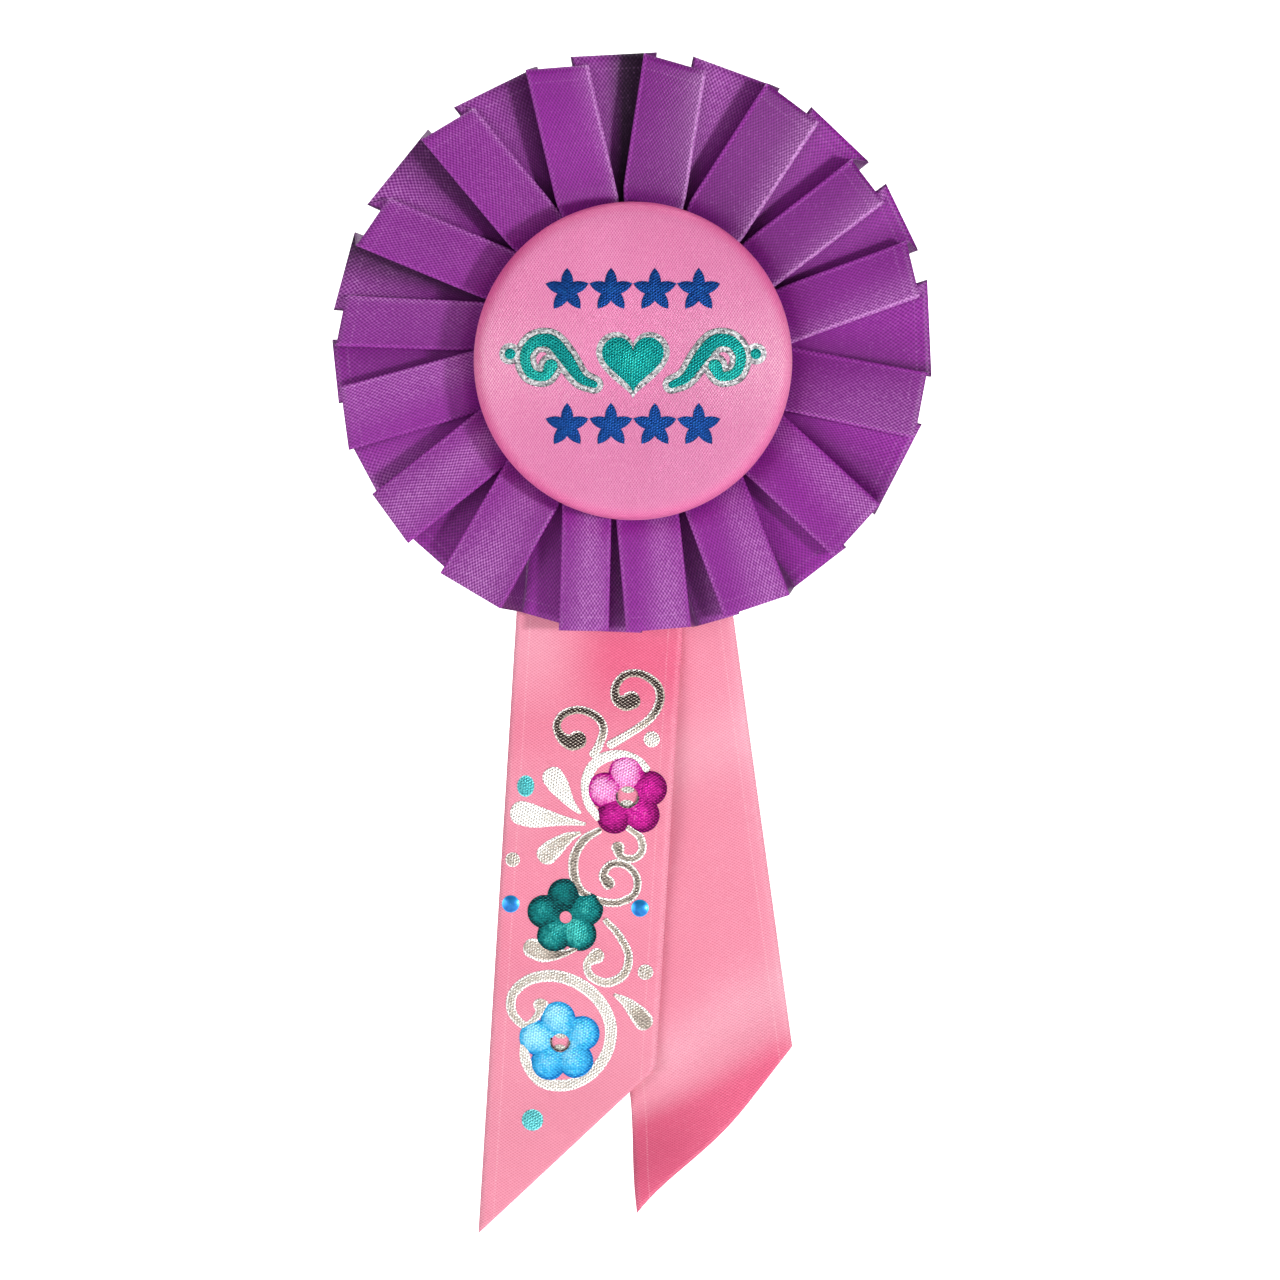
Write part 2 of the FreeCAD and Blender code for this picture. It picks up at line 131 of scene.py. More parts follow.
# For each pleat: how white its clockwise fold is, as crease whitening with a painted highlight,
# then the
# painted sheen band along its panel: where it is (0 at the counter-clockwise edge, 1 at the other),
# its half width in mm, and its strength near the button and at the rim.
SHINE = [
    (0.75, 0.95, 0.9, 0.10, 0.25),
    (0.85, 0.95, 1.0, 0.06, 0.24),
    (0.85, 0.93, 1.3, 0.20, 0.28),
    (0.80, 0.95, 1.0, 0.06, 0.20),
    (0.75, 0.90, 1.6, 0.06, 0.35),
    (0.35, 0.70, 3.2, 0.12, 0.35),
    (0.25, 0.16, 2.0, 0.26, 0.50),
    (0.25, 0.22, 2.0, 0.34, 0.55),
    (0.20, 0.28, 1.8, 0.40, 0.60),
    (0.15, 0.42, 1.7, 0.62, 0.60),
    (0.15, 0.50, 2.6, 0.10, 0.60),
    (0.20, 0.52, 2.2, 0.55, 0.50),
    (0.40, 0.80, 2.6, 0.50, 0.38),
    (0.50, 0.70, 3.6, 0.16, 0.18),
    (0.50, 0.60, 4.2, 0.16, 0.22),
    (0.60, 0.60, 4.2, 0.14, 0.18),
]
# For each pleat, painted into its colour: how much its panel is shaded, how much the valley after
# it glints on its open side, and how dark that valley's deep side is.
SHADES = [
    (0.05, 0.30, 1.60), (0.36, 0.60, 0.40), (0.42, 0.05, 0.00), (0.34, 0.00, 0.20),
    (0.26, 0.10, 0.32), (0.30, 0.10, 0.50), (0.12, 0.00, 0.00), (0.10, 0.50, 0.40),
    (0.12, 1.00, 0.00), (0.10, 0.20, 0.00), (0.24, 0.10, 0.15), (0.22, 0.55, 0.00),
    (0.08, 0.10, 0.36), (0.24, 0.60, 1.10), (0.10, 0.60, 0.90), (0.08, 0.40, 0.85),
]
FRONT_FILLET = 0.3  # at the panels' counter-clockwise edge
END_FILLET = 0.35  # where a valley ends
PANEL_LENGTH_SHARE = 0.975  # of the ribbon's width, once its bend is taken off
NARROW_RADIUS = 20.5  # inside it the panels narrow towards the centre
INNER_TUCK = 2.4  # how far valleys run under the panels at their inner edge
OUTER_TUCK = 2.1  # and at the rim, under the panel before
HIDDEN_TUCK = 1.6  # and under the panel after, where only the rim shows a slit
VALLEY_RIM = 40.7
VALLEY_RIM_AT_SIDES = 1.4  # this much further out at the sides
PRESSED_RADIUS = 14.0  # the glue holds the pleats flat inside it
PRESSED = 0.3  # share of their height that is left there
PRESSED_AT_EDGE = 0.80  # and under the button's edge
PRESS_FADE = 2.3  # width of the ring outside the button where they rise again
LOWEST = 0.12  # of a valley over the card
KNEED, KNEE = 5, 0.9  # the valley after this pleat has a knee, and its height
# Points of the mesh: rows from the inner edge to the rim, and columns of each kind of face.
STATIONS = 27
FOLD_COLUMNS = 4
COLUMNS = {"ccw": 16, "cw": 1, "under": 4, "hook": 1, "start": 12, "end": 5}


def smooth(x):
    """0 below 0, 1 above 1, and smoothly between."""
    x = min(max(x, 0.0), 1.0)
    return x * x * (3 - 2 * x)


def mix(a, b, t):
    return a + (b - a) * t


def in_plane(angle):
    """The outward and the clockwise direction at an angle from the top, in the (x, z) plane."""
    a = math.radians(angle)
    return Vector((math.sin(a), math.cos(a))), Vector((math.cos(a), -math.sin(a)))


def press_down(point):
    """The share of their height that the glue and the button leave to the pleats."""
    from_button = (point - Vector((0, -BUTTON_DROP))).length
    if from_button > BUTTON_RADIUS:
        return mix(PRESSED_AT_EDGE, 1.0, smooth((from_button - BUTTON_RADIUS) / PRESS_FADE))
    share = (from_button - PRESSED_RADIUS) / (BUTTON_RADIUS - PRESSED_RADIUS)
    return mix(PRESSED, PRESSED_AT_EDGE, smooth(share))


class Pleat:
    """One box pleat: where its panel's points lie, seen from the front, and how high."""

    def __init__(self, values):
        self.angle, lean, self.width, skew, reach = values[:5]
        self.ccw_height, self.cw_height, self.start, self.end, self.tuck = values[5:]
        self.out, self.across = in_plane(self.angle + lean)
        self.rim = in_plane(self.angle)[0] * reach
        self.skew = math.tan(math.radians(skew))

    def at(self, side, t):
        """The panel's point side mm clockwise of its middle line, t of the way out to the rim."""
        back = RIBBON_WIDTH * (1 - t) * PANEL_LENGTH_SHARE
        middle = self.rim - self.out * back
        narrowed = side * min(1.0, middle.length / NARROW_RADIUS)
        return middle + self.across * narrowed - self.out * (side * self.skew)


def rim_radius(point):
    """The valleys' rim lies further out than the panels', most at the sides."""
    return VALLEY_RIM + VALLEY_RIM_AT_SIDES * (point.x / point.length) ** 2


def valley_points(pleat, following, t):
    """Start and end of the valley between two pleats at t of the way out."""
    start_in = pleat.at(pleat.width / 2 - INNER_TUCK, 0)
    end_in = following.at(-following.width / 2 + INNER_TUCK, 0)
    start_out = pleat.at(pleat.width / 2 - OUTER_TUCK, 1)
    end_out = following.at(-following.width / 2 + following.tuck, 1)
    start_out = start_out * (rim_radius(start_out) / start_out.length)
    end_out = end_out * (rim_radius(end_out) / end_out.length)
    if following.tuck < 0:
        hidden = following.at(-following.width / 2 + HIDDEN_TUCK, 1)
        end_out = hidden.lerp(end_out, smooth((t - 0.35) / 0.65))
    return start_in.lerp(start_out, t), end_in.lerp(end_out, t)


def raised(point, height):
    """A point of the pleats, from its place seen from the front and its height over the card."""
    return Vector((point.x, CARD_Y - height, CENTRE_Z + point.y))


def station(pleats, t):
    """The folded ribbon's corners at t of the way out, as (point, fillet radius, kind)."""
    corners = []
    for i, pleat in enumerate(pleats):
        following = pleats[(i + 1) % len(pleats)]
        half = pleat.width / 2
        ccw = pleat.at(-half, t)
        cw = pleat.at(half, t)
        under = pleat.at(half - 0.08, t)
        start, end = valley_points(pleat, following, t)
        press = press_down(cw)
        high = pleat.cw_height * press
        low = max(following.end * press_down(end), LOWEST)
        rise = mix(0.82, 1.0, smooth(t * 1.5))
        corners += [
            (raised(ccw, pleat.ccw_height * press_down(ccw) * rise), FRONT_FILLET, "ccw"),
            (raised(cw, high), FOLD_RADIUS, "cw"),
            (raised(under, high - 2 * FOLD_RADIUS), FOLD_RADIUS, "under"),
            (raised(start, pleat.start * press + 2 * FOLD_RADIUS), FOLD_RADIUS, "hook"),
            (raised(start, pleat.start * press), FOLD_RADIUS, "start"),
            (raised(end, low), END_FILLET, "end"),
        ]
    return corners


def filleted(corners):
    """One closed row of points with every corner rounded, and what each point belongs to."""
    points = []
    kinds = []
    count = len(corners)
    arcs = []
    for i, (corner, radius, kind) in enumerate(corners):
        before = corners[i - 1][0] - corner
        after = corners[(i + 1) % count][0] - corner
        bend = before.angle(after, math.pi)
        reach = radius / max(math.tan(bend / 2), 0.2)
        reach = min(reach, 0.46 * before.length, 0.46 * after.length)
        a = corner + before.normalized() * reach
        b = corner + after.normalized() * reach
        arcs.append([bezier(a, corner, b, k / FOLD_COLUMNS) for k in range(FOLD_COLUMNS + 1)])
    for i, arc in enumerate(arcs):
        kind = corners[i][2]
        points += arc
        kinds += [(kind, "fold", 0.0)] * len(arc)
        following = arcs[(i + 1) % count][0]
        for k in range(1, COLUMNS[kind]):
            share = 0.5 - 0.5 * math.cos(math.pi * k / COLUMNS[kind])
            points.append(arc[-1].lerp(following, share))
            kinds.append((kind, "flat", share))
    return points, kinds


def bezier(a, b, c, t):
    return a * (1 - t) ** 2 + b * (2 * t * (1 - t)) + c * t**2


def crown(kind, share, pleat_index, t, point):
    """How much a point of a panel or valley stands out from the flat, in mm."""
    if kind == "ccw":
        bulge = 0.22 + 0.12 * math.sin(pleat_index * 2.3)
        wave = 0.10 * noise.noise(point * 0.11 + Vector((pleat_index, 0, 0)))
        return bulge * math.sin(math.pi * share) * smooth(t * 1.3) + wave * smooth(t)
    if kind == "start":
        knee = KNEE if pleat_index == KNEED else 0.25 * math.sin(pleat_index * 1.7)
        peak = share / 0.7 if share < 0.7 else (1 - share) / 0.3
        return knee * smooth(peak) * t
    return 0.0


def whitening_and_sheen(kind, place, share, t, pleat_index, width):
    """Where the satin is lightened: whitened creases with a painted highlight along its folds,
    painted sheen bands along its panels, and painted glints in its valleys.
    """
    crease, centre, half, inner, outer = SHINE[pleat_index]
    # the clockwise fold: crease whitening with a painted highlight
    if kind == "cw" and place == "fold":
        return crease
    if kind == "ccw" and place == "flat":
        from_fold = (1 - share) * width
        line = 0.85 * math.exp(-((from_fold / 0.24) ** 2)) + 0.3 * math.exp(-from_fold / 0.9)
        # painted sheen: a band of light along the panel, wider towards the rim
        off = (share - centre) * width / (half * mix(1.0, 1.8, smooth(t * 1.2 - 0.2)))
        return crease * line + mix(inner, outer, smooth(t)) * math.exp(-off * off)
    if kind == "ccw":
        return 0.12
    if kind == "under":
        return 0.3
    # a painted glint of light on the valley's open side, towards the rim
    if kind == "start" and place == "flat":
        glint = SHADES[pleat_index][1]
        return glint * math.exp(-((share / 0.6) ** 2)) * smooth((t - 0.35) / 0.45)
    return 0.05


def fold_shade(kind, place, share, t, pleat_index):
    """How far the cloth's colour is taken to the look's shade, on a panel and deep in a fold."""
    panel, _, valley = SHADES[pleat_index]
    # painted shade where a valley ends under the next panel, and in the hook under a fold
    if kind in ("end", "hook"):
        return 0.8
    # painted shade on the panel
    if kind == "ccw" and place == "flat":
        return panel
    if kind == "start" and place == "flat":
        # painted shade on the valley's deep side, and a painted shadow line along the next panel's
        # raised edge
        deep = valley * smooth(share * 1.6 - 0.3) * mix(1.0, 0.85, t)
        return min(deep + 0.35 * smooth((share - 0.84) / 0.14), 1.15)
    return 0.0


def mesh_object(name, points, faces, uvs=None, values=None):
    """A smooth-shaded object from points in mm, with UVs and per-point values if given."""
    mesh = bpy.data.meshes.new(name)
    mesh.from_pydata([tuple(p * MM) for p in points], [], faces)
    if uvs:
        layer = mesh.uv_layers.new(name="UVMap")
        for loop in mesh.loops:
            layer.data[loop.index].uv = uvs[loop.vertex_index]
    for key, numbers in (values or {}).items():
        attribute = mesh.attributes.new(key, "FLOAT", "POINT")
        attribute.data.foreach_set("value", numbers)
    mesh.shade_smooth()
    obj = bpy.data.objects.new(name, mesh)
    bpy.context.collection.objects.link(obj)
    return obj


def grid_faces(rows, columns, closed=False):
    """Quads over a grid of points stored row by row. closed joins the last column to the first."""
    faces = []
    for r in range(rows - 1):
        for c in range(columns if closed else columns - 1):
            d = (c + 1) % columns
            near, far = r * columns, (r + 1) * columns
            faces.append((near + c, near + d, far + d, far + c))
    return faces


def apply_modifiers(obj):
    """The object's mesh with its modifiers applied."""
    depsgraph = bpy.context.evaluated_depsgraph_get()
    mesh = bpy.data.meshes.new_from_object(obj.evaluated_get(depsgraph))
    old = obj.data
    obj.modifiers.clear()
    obj.data = mesh
    mesh.name = obj.name
    bpy.data.meshes.remove(old)


def edit_mesh(obj, change):
    """Changes the object's mesh by a function of its bmesh."""
    work = bmesh.new()
    work.from_mesh(obj.data)
    change(work)
    work.to_mesh(obj.data)
    work.free()


def thicken(obj, thickness, offset=0.0):
    """Turns a sheet into thin closed cloth."""
    solid = obj.modifiers.new("thickness", "SOLIDIFY")
    solid.thickness = thickness * MM
    solid.offset = offset
    apply_modifiers(obj)


def make_pleated_ribbon():
    """The folded ribbon as one closed ring of sixteen box pleats."""
    pleats = [Pleat(values) for values in PLEATS]
    rows = []
    for k in range(STATIONS):
        t = k / (STATIONS - 1)
        points, kinds = filleted(station(pleats, t))
        moved = []
        index = -1
        for point, (kind, place, share) in zip(points, kinds):
            if (kind, place) == ("ccw", "fold") and (not moved or moved[-1][1] != "ccw"):
                index += 1
            lift = crown(kind, share, index, t, point) if place == "flat" else 0.0
            moved.append((point - Vector((0, lift, 0)), kind, place, share, index, t))
        rows.append(moved)
    columns = len(rows[0])
    along = [0.0]
    middle = rows[STATIONS * 2 // 3]
    for c in range(1, columns):
        along.append(along[-1] + (middle[c][0] - middle[c - 1][0]).length)
    points, uvs, whitening_and_sheen_values, painted_shades = [], [], [], []
    for k, row in enumerate(rows):
        for c, (point, kind, place, share, index, t) in enumerate(row):
            points.append(point)
            uvs.append((along[c], RIBBON_WIDTH * k / (STATIONS - 1)))
            # per point: crease whitening with painted sheen, and painted shade as the mesh's fold
            # value
            whitening_and_sheen_values.append(whitening_and_sheen(kind, place, share, t, index, pleats[index].width))
            painted_shades.append(fold_shade(kind, place, share, t, index))
    faces = grid_faces(STATIONS, columns, closed=True)
    ribbon = mesh_object(
        "pleated_satin_ribbon", points, faces, uvs, {"whitening_and_sheen": whitening_and_sheen_values, "fold": painted_shades}
    )
    thicken(ribbon, CLOTH)
    ribbon.data.materials.append(satin("purple_satin", PURPLE, RIBBON_WIDTH))
    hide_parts("pleated_ribbon")
    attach(ribbon, ROOT)


# --- Materials ---


class Shader:
    """A principled material with short calls for its nodes."""

    def __init__(self, name):
        self.material = bpy.data.materials.new(name)
        self.material.use_nodes = True
        self.tree = self.material.node_tree
        self.surface = self.tree.nodes["Principled BSDF"]

    def done(self, colour, roughness, **more):
        """Sets or links the surface's inputs, spaces as underscores, and gives the material."""
        for name, value in dict(Base_Color=colour, Roughness=roughness, **more).items():
            self.feed(self.surface.inputs[name.replace("_", " ")], value)
        return self.material

    def feed(self, socket, value):
        """Links a socket to another, or sets its value."""
        if isinstance(value, bpy.types.NodeSocket):
            self.tree.links.new(value, socket)
        elif value is not None:
            socket.default_value = value

    def node(self, kind, output=0, **settings):
        """A new node. Settings are properties, or inputs by name with spaces as underscores."""
        node = self.tree.nodes.new(kind)
        for key, value in settings.items():
            if hasattr(node, key):
                setattr(node, key, value)
            else:
                self.feed(node.inputs[key.replace("_", " ")], value)
        return node.outputs[output]

    def math(self, operation, a, b=0.0, c=0.0):
        node = self.tree.nodes.new("ShaderNodeMath")
        node.operation = operation
        for socket, value in zip(node.inputs, (a, b, c)):
            self.feed(socket, value)
        return node.outputs[0]

    def times(self, a, b):
        return self.math("MULTIPLY", a, b)

    def around(self, value, amount, middle):
        """The middle value, moved up and down by so much of a noise that runs from 0 to 1."""
        return self.math("MULTIPLY_ADD", self.math("SUBTRACT", value, 0.5), amount, middle)

    def blend(self, amount, a, b):
        """Mixes two colours."""
        node = self.tree.nodes.new("ShaderNodeMix")
        node.data_type = "RGBA"
        for name, value in (("Factor", amount), ("A", a), ("B", b)):
            sockets = [s for s in node.inputs if s.name == name and s.enabled]
            self.feed(sockets[0], value)
        return [s for s in node.outputs if s.enabled][0]

    def ramp(self, value, low, high, out_low=0.0, out_high=1.0):
        """Maps a range of a value onto another, clamped."""
        return self.node(
            "ShaderNodeMapRange",
            Value=value, From_Min=low, From_Max=high, To_Min=out_low, To_Max=out_high,
        )

    def attribute(self, name):
        """A value that the mesh carries at its points."""
        return self.node("ShaderNodeAttribute", output=2, attribute_name=name)

    def place(self):
        """The point's place in the object, in metres."""
        return self.node("ShaderNodeTexCoord", output=3)

    def uv(self):
        """The two coordinates along the cloth, in mm."""
        split = self.tree.nodes.new("ShaderNodeSeparateXYZ")
        self.tree.links.new(self.node("ShaderNodeUVMap", uv_map="UVMap"), split.inputs[0])
        return split.outputs[0], split.outputs[1]

    def wave(self, u, v, across, along):
        """A sine over the cloth with so many cycles per mm in each direction."""
        phase = self.math("ADD", self.times(u, across), self.times(v, along))
        return self.math("SINE", self.times(phase, 2 * math.pi))

    def noise(self, scale, detail=2.0, vector=None, **more):
        return self.node("ShaderNodeTexNoise", Vector=vector, Scale=scale, Detail=detail, **more)

    def bump(self, height, distance, strength=1.0):
        return self.node("ShaderNodeBump", Height=height, Distance=distance, Strength=strength)


def srgb(r, g, b):
    """A linear colour from 0 to 255 screen values."""
    def linear(c):
        c /= 255
        return c / 12.92 if c <= 0.04045 else ((c + 0.055) / 1.055) ** 2.4

    return (linear(r), linear(g), linear(b), 1.0)


# Looks of the satins. The lightest colour is mixed in for whitened creases and painted sheen, pale
# by the tone value, which paints sheen and shade, and shade is the colour of painted shade.
PURPLE = {
    "gap": srgb(88, 4, 98),
    "shade": srgb(26, 0, 30),
    "face": srgb(152, 31, 158),
    "whitening_and_sheen": srgb(220, 158, 224),
    "line": 0.22,
    "pitch": (0.47, 0.35),
    "sheen": (0.95, 0.75, 1.0, 1.0),
}
PINK = {
    "gap": srgb(200, 66, 104),
    "face": srgb(232, 108, 142),
    "pale": srgb(238, 176, 192),
    "whitening_and_sheen": srgb(250, 206, 218),
    "line": 0.55,
    "pitch": (0.40, 0.30),
    "sheen": (1.0, 0.85, 0.92, 1.0),
}
BUTTON_PINK = dict(
    PINK, gap=srgb(196, 76, 132), face=srgb(230, 146, 188), pale=None, pitch=(0.38, 0.28),
    shade=srgb(112, 62, 100),
)


def satin(name, look, width=None, rim=None):
    """Satin with staggered floats like fine dots, lightened where the mesh's value of crease
    whitening and painted sheen is high.

    A ribbon of that width has a line woven along each edge. rim is a colour of painted shade, mixed
    in by the mesh's rim value.
    """
    s = Shader(name)
    u, v = s.uv()
    across, along = look["pitch"]
    place = s.place()
    fine = s.noise(3200.0, 1.0, place)
    cloud = s.noise(70.0, 3.0, place)
    wander = s.noise(160.0, 2.0, place)
    u2 = s.math("MULTIPLY_ADD", wander, 0.5, u)
    v2 = s.math("MULTIPLY_ADD", wander, -0.4, v)
    crossing = s.times(s.wave(u2, v2, 1 / across, 0.06), s.wave(u2, v2, 0.06, 0.5 / along))
    uneven = s.around(fine, 0.35, s.math("MULTIPLY_ADD", crossing, 0.5, 0.5))
    face, gap = look["face"], look["gap"]
    # the tone value paints sheen and shade: it takes the colour towards pale
    if look.get("pale"):
        tone = s.attribute("tone")
        face = s.blend(tone, face, look["pale"])
        gap = s.blend(s.times(tone, 0.5), gap, look["pale"])
    colour = s.blend(s.ramp(uneven, 0.1, 0.7, 0.12, 1.0), gap, face)
    colour = s.blend(s.ramp(cloud, 0.35, 0.65, 0.0, 0.2), colour, gap)
    # painted shade: the mesh's fold value takes the colour towards the shade colour
    if look.get("shade"):
        colour = s.blend(s.times(s.attribute("fold"), 0.85), colour, look["shade"])
    # painted shade at the rim
    if rim:
        colour = s.blend(s.times(s.attribute("rim"), 0.8), colour, rim)
    whitening_and_sheen_amount = s.attribute("whitening_and_sheen")
    for edge in (SELVEDGE, width - SELVEDGE) if width else ():
        away = s.math("ABSOLUTE", s.math("SUBTRACT", v, edge))
        whitening_and_sheen_amount = s.math("ADD", whitening_and_sheen_amount, s.ramp(away, 0.0, 0.16, look["line"], 0.0))
    # painted glints on single floats, with sparse painted sparkles, and closed whitened lines where
    # the cloth is creased
    floats = s.times(s.ramp(uneven, 0.35, 0.8, 0.08, 0.85), s.ramp(fine, 0.3, 0.6, 0.5, 1.0))
    crease = s.times(s.ramp(whitening_and_sheen_amount, 0.55, 0.85, 0.0, 0.6), s.ramp(fine, 0.35, 0.6, 0.3, 1.0))
    glints = s.math("MAXIMUM", floats, crease)
    specks = s.times(s.ramp(fine, 0.58, 0.72, 0.0, 0.12), glints)
    white = s.math("MINIMUM", s.math("MULTIPLY_ADD", whitening_and_sheen_amount, glints, specks), 0.8)
    return s.done(
        s.blend(white, colour, look["whitening_and_sheen"]), s.ramp(uneven, 0.2, 0.8, 0.52, 0.38),
        Specular_IOR_Level=0.35, Sheen_Weight=0.03, Sheen_Roughness=0.4,
        Sheen_Tint=look["sheen"], Normal=s.bump(uneven, 0.00005, 0.7),
    )


def foil(name, dark, middle, light, specks):
    """Hot-pressed metal foil on satin: the weave shows through as fine light and dark specks."""
    s = Shader(name)
    u, v = s.uv()
    place = s.place()
    grain = s.noise(2100.0, 2.0, place)
    u = s.math("MULTIPLY_ADD", s.noise(240.0, 1.0, place), 0.5, u)
    crossing = s.times(s.wave(u, v, 0.5 / 0.36, 0.1), s.wave(u, v, 0.1, 1 / 0.46))
    weave = s.around(grain, 0.5, crossing)
    # the mesh's tone value paints the foil's reflections, from its dark to its light colour
    level = s.ramp(s.around(grain, 0.9, s.attribute("tone")), 0.0, 1.0)
    # light dots where the foil is dark, and dark ones where it is light
    inverse = s.math("SUBTRACT", 1.0, s.times(level, 2.0))
    level = s.math("MULTIPLY_ADD", s.times(s.ramp(weave, 0.36, 0.60), specks), inverse, level)
    lower = s.blend(s.ramp(level, 0.0, 0.5), srgb(*dark), srgb(*middle))
    colour = s.blend(s.ramp(level, 0.5, 1.0), lower, srgb(*light))
    bump = s.bump(s.math("MULTIPLY_ADD", grain, 0.6, weave), 0.00006, 0.9)
    return s.done(colour, s.ramp(grain, 0.3, 0.7, 0.28, 0.5), Metallic=0.85, Normal=bump)


def gem(name):
    """Glossy blue spots, like small flat stones."""
    s = Shader(name)
    # the tone value paints the stones' reflection and shade, from dark to light blue
    level = s.around(s.noise(1500.0, 2.0, s.place()), 0.8, s.attribute("tone"))
    colour = s.blend(s.ramp(level, 0.0, 1.0), srgb(4, 70, 170), srgb(40, 170, 240))
    return s.done(colour, 0.35, Metallic=0.6, Coat_Weight=0.3, Coat_Roughness=0.2)


def glitter(name):
    """Silver glitter: small flakes that each face their own way."""
    s = Shader(name)
    place = s.place()
    flakes = s.node("ShaderNodeTexVoronoi", output="Color", Vector=place, Scale=4200.0)
    split = s.tree.nodes.new("ShaderNodeSeparateColor")
    s.feed(split.inputs[0], flakes)
    red, green, blue = split.outputs
    colour = s.blend(s.ramp(red, 0.05, 0.75), srgb(120, 118, 126), srgb(252, 252, 255))
    roughness = s.ramp(green, 0.0, 1.0, 0.15, 0.5)
    return s.done(colour, roughness, Metallic=0.7, Normal=s.bump(blue, 0.0001, 0.9))


def plated(name, colour, roughness):
    """Nickel or tin plate with fine drawing marks and faint stains."""
    s = Shader(name)
    place = s.place()
    stretch = s.node("ShaderNodeMapping", Vector=place, Scale=(300.0, 4000.0, 4000.0))
    marks = s.noise(1.0, 2.0, stretch)
    stains = s.noise(220.0, 3.0, place)
    tarnish = tuple(c * 0.72 for c in colour[:3]) + (1.0,)
    colour = s.blend(s.ramp(stains, 0.4, 0.7, 0.0, 0.6), colour, tarnish)
    roughness = s.math("MULTIPLY_ADD", marks, 0.22, roughness - 0.1)
    return s.done(colour, roughness, Metallic=1.0, Normal=s.bump(marks, 0.00002, 0.5))


def pulp(name, colour, fibre=1.0):
    """Card or foam: matt, with faint fibres and blotches."""
    s = Shader(name)
    place = s.place()
    blotch = s.noise(160.0, 4.0, place)
    hairs = s.noise(1400.0, 3.0, place, Distortion=1.5)
    shade = tuple(c * 0.82 for c in colour[:3]) + (1.0,)
    colour = s.blend(s.ramp(blotch, 0.35, 0.7, 0.0, 0.5), colour, shade)
    colour = s.blend(s.ramp(hairs, 0.55, 0.75, 0.0, 0.35 * fibre), colour, shade)
    return s.done(colour, s.ramp(hairs, 0.3, 0.7, 0.75, 0.9), Normal=s.bump(hairs, 0.00006, 0.7))


def glue(name):
    """Milky hot-melt glue."""
    s = Shader(name)
    lumps = s.noise(300.0, 2.0, s.place())
    colour = s.blend(lumps, srgb(214, 208, 186), srgb(238, 234, 220))
    return s.done(colour, s.ramp(lumps, 0.3, 0.7, 0.25, 0.45), Normal=s.bump(lumps, 0.0003, 0.6))


# --- Button ---


def merge_middle(work):
    """Joins the points that lie on top of each other in the middle of a disc's bmesh."""
    bmesh.ops.remove_doubles(work, verts=work.verts, dist=0.001 * MM)


def make_button_cover():
    """The button's satin: a domed disc, rounded at the edge and tucked in behind."""
    front, back = button_low.y, button_high.y
    edge = 2.6  # radius of the rounded edge
    flat = BUTTON_RADIUS - edge
    rise = 1.65 * 0.86  # of the dome inside the edge
    slope = math.radians(9.5)  # of the dome where the edge begins
    segments = 144
    profile = []
    for k in range(15):
        r = flat * k / 14
        profile.append((r, front + rise * (r / flat) ** 2))
    shoulder_y = profile[-1][1] + edge
    for k in range(1, 10):
        a = mix(slope, math.pi / 2, k / 9)
        profile.append((flat + edge * math.sin(a), shoulder_y - edge * math.cos(a)))
    for k in range(1, 5):
        profile.append((BUTTON_RADIUS, mix(shoulder_y, back - 0.35, k / 4)))
    profile += [
        (BUTTON_RADIUS - 0.12, back - 0.1),
        (BUTTON_RADIUS - 0.45, back),
        (BUTTON_RADIUS - 1.0, back + 0.02),
        (BUTTON_RADIUS - 1.45, back - 0.1),
        (BUTTON_RADIUS - 1.6, back - 0.9),
    ]
    gathered_from = 27  # the row where the cloth begins to gather behind
    points, uvs, whitening_and_sheen_values, rim_shades, shades = [], [], [], [], []
    travelled = 0.0
    for k, (r, y) in enumerate(profile):
        if k:
            travelled += math.dist(profile[k - 1], profile[k])
        for j in range(segments):
            a = 2 * math.pi * j / segments
            gather = 0.12 * math.sin(a * 36 + 0.8 * math.sin(a * 5))
            gather *= smooth((k - gathered_from) / 4)
            x, z = (r + gather) * math.sin(a), (r + gather) * math.cos(a)
            points.append(Vector((x, y, BUTTON_Z + z)))
            uvs.append((travelled * math.sin(a), travelled * math.cos(a)))
            # painted sheen: a pale band across the left and right of the dome
            whitening_and_sheen_values.append(0.55 * math.exp(-((z / 6.5) ** 2)) * smooth(r / 20))
            # painted shade towards the lower right
            shades.append(0.24 * (0.5 + 0.5 * math.cos(a - 2.5)) * smooth(r / 9))
            # painted shade at the rim, darkest at the upper left
            upper_left = 0.5 + 0.5 * math.cos(a + 0.6)
            rim_shades.append(mix(0.35, 0.8, upper_left) * smooth((r - BUTTON_RADIUS + 1.9) / 1.9))
    faces = grid_faces(len(profile), segments, closed=True)
    cover = mesh_object(
        "button_cover_satin", points, faces, uvs, {"whitening_and_sheen": whitening_and_sheen_values, "rim": rim_shades, "fold": shades}
    )
    edit_mesh(cover, merge_middle)
    thicken(cover, CLOTH, -1.0)
    # the rim colour is that of the painted shade
    cover.data.materials.append(satin("button_satin", BUTTON_PINK, rim=srgb(222, 44, 132)))
    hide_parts("button_fabric")
    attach(cover, ROOT)
    return profile


# --- Tails ---


TAIL_WIDTH = 23.4
TAIL_CLOTH = 0.22
TAIL_TOP = 5.0  # the strips begin this far below the rosette's middle


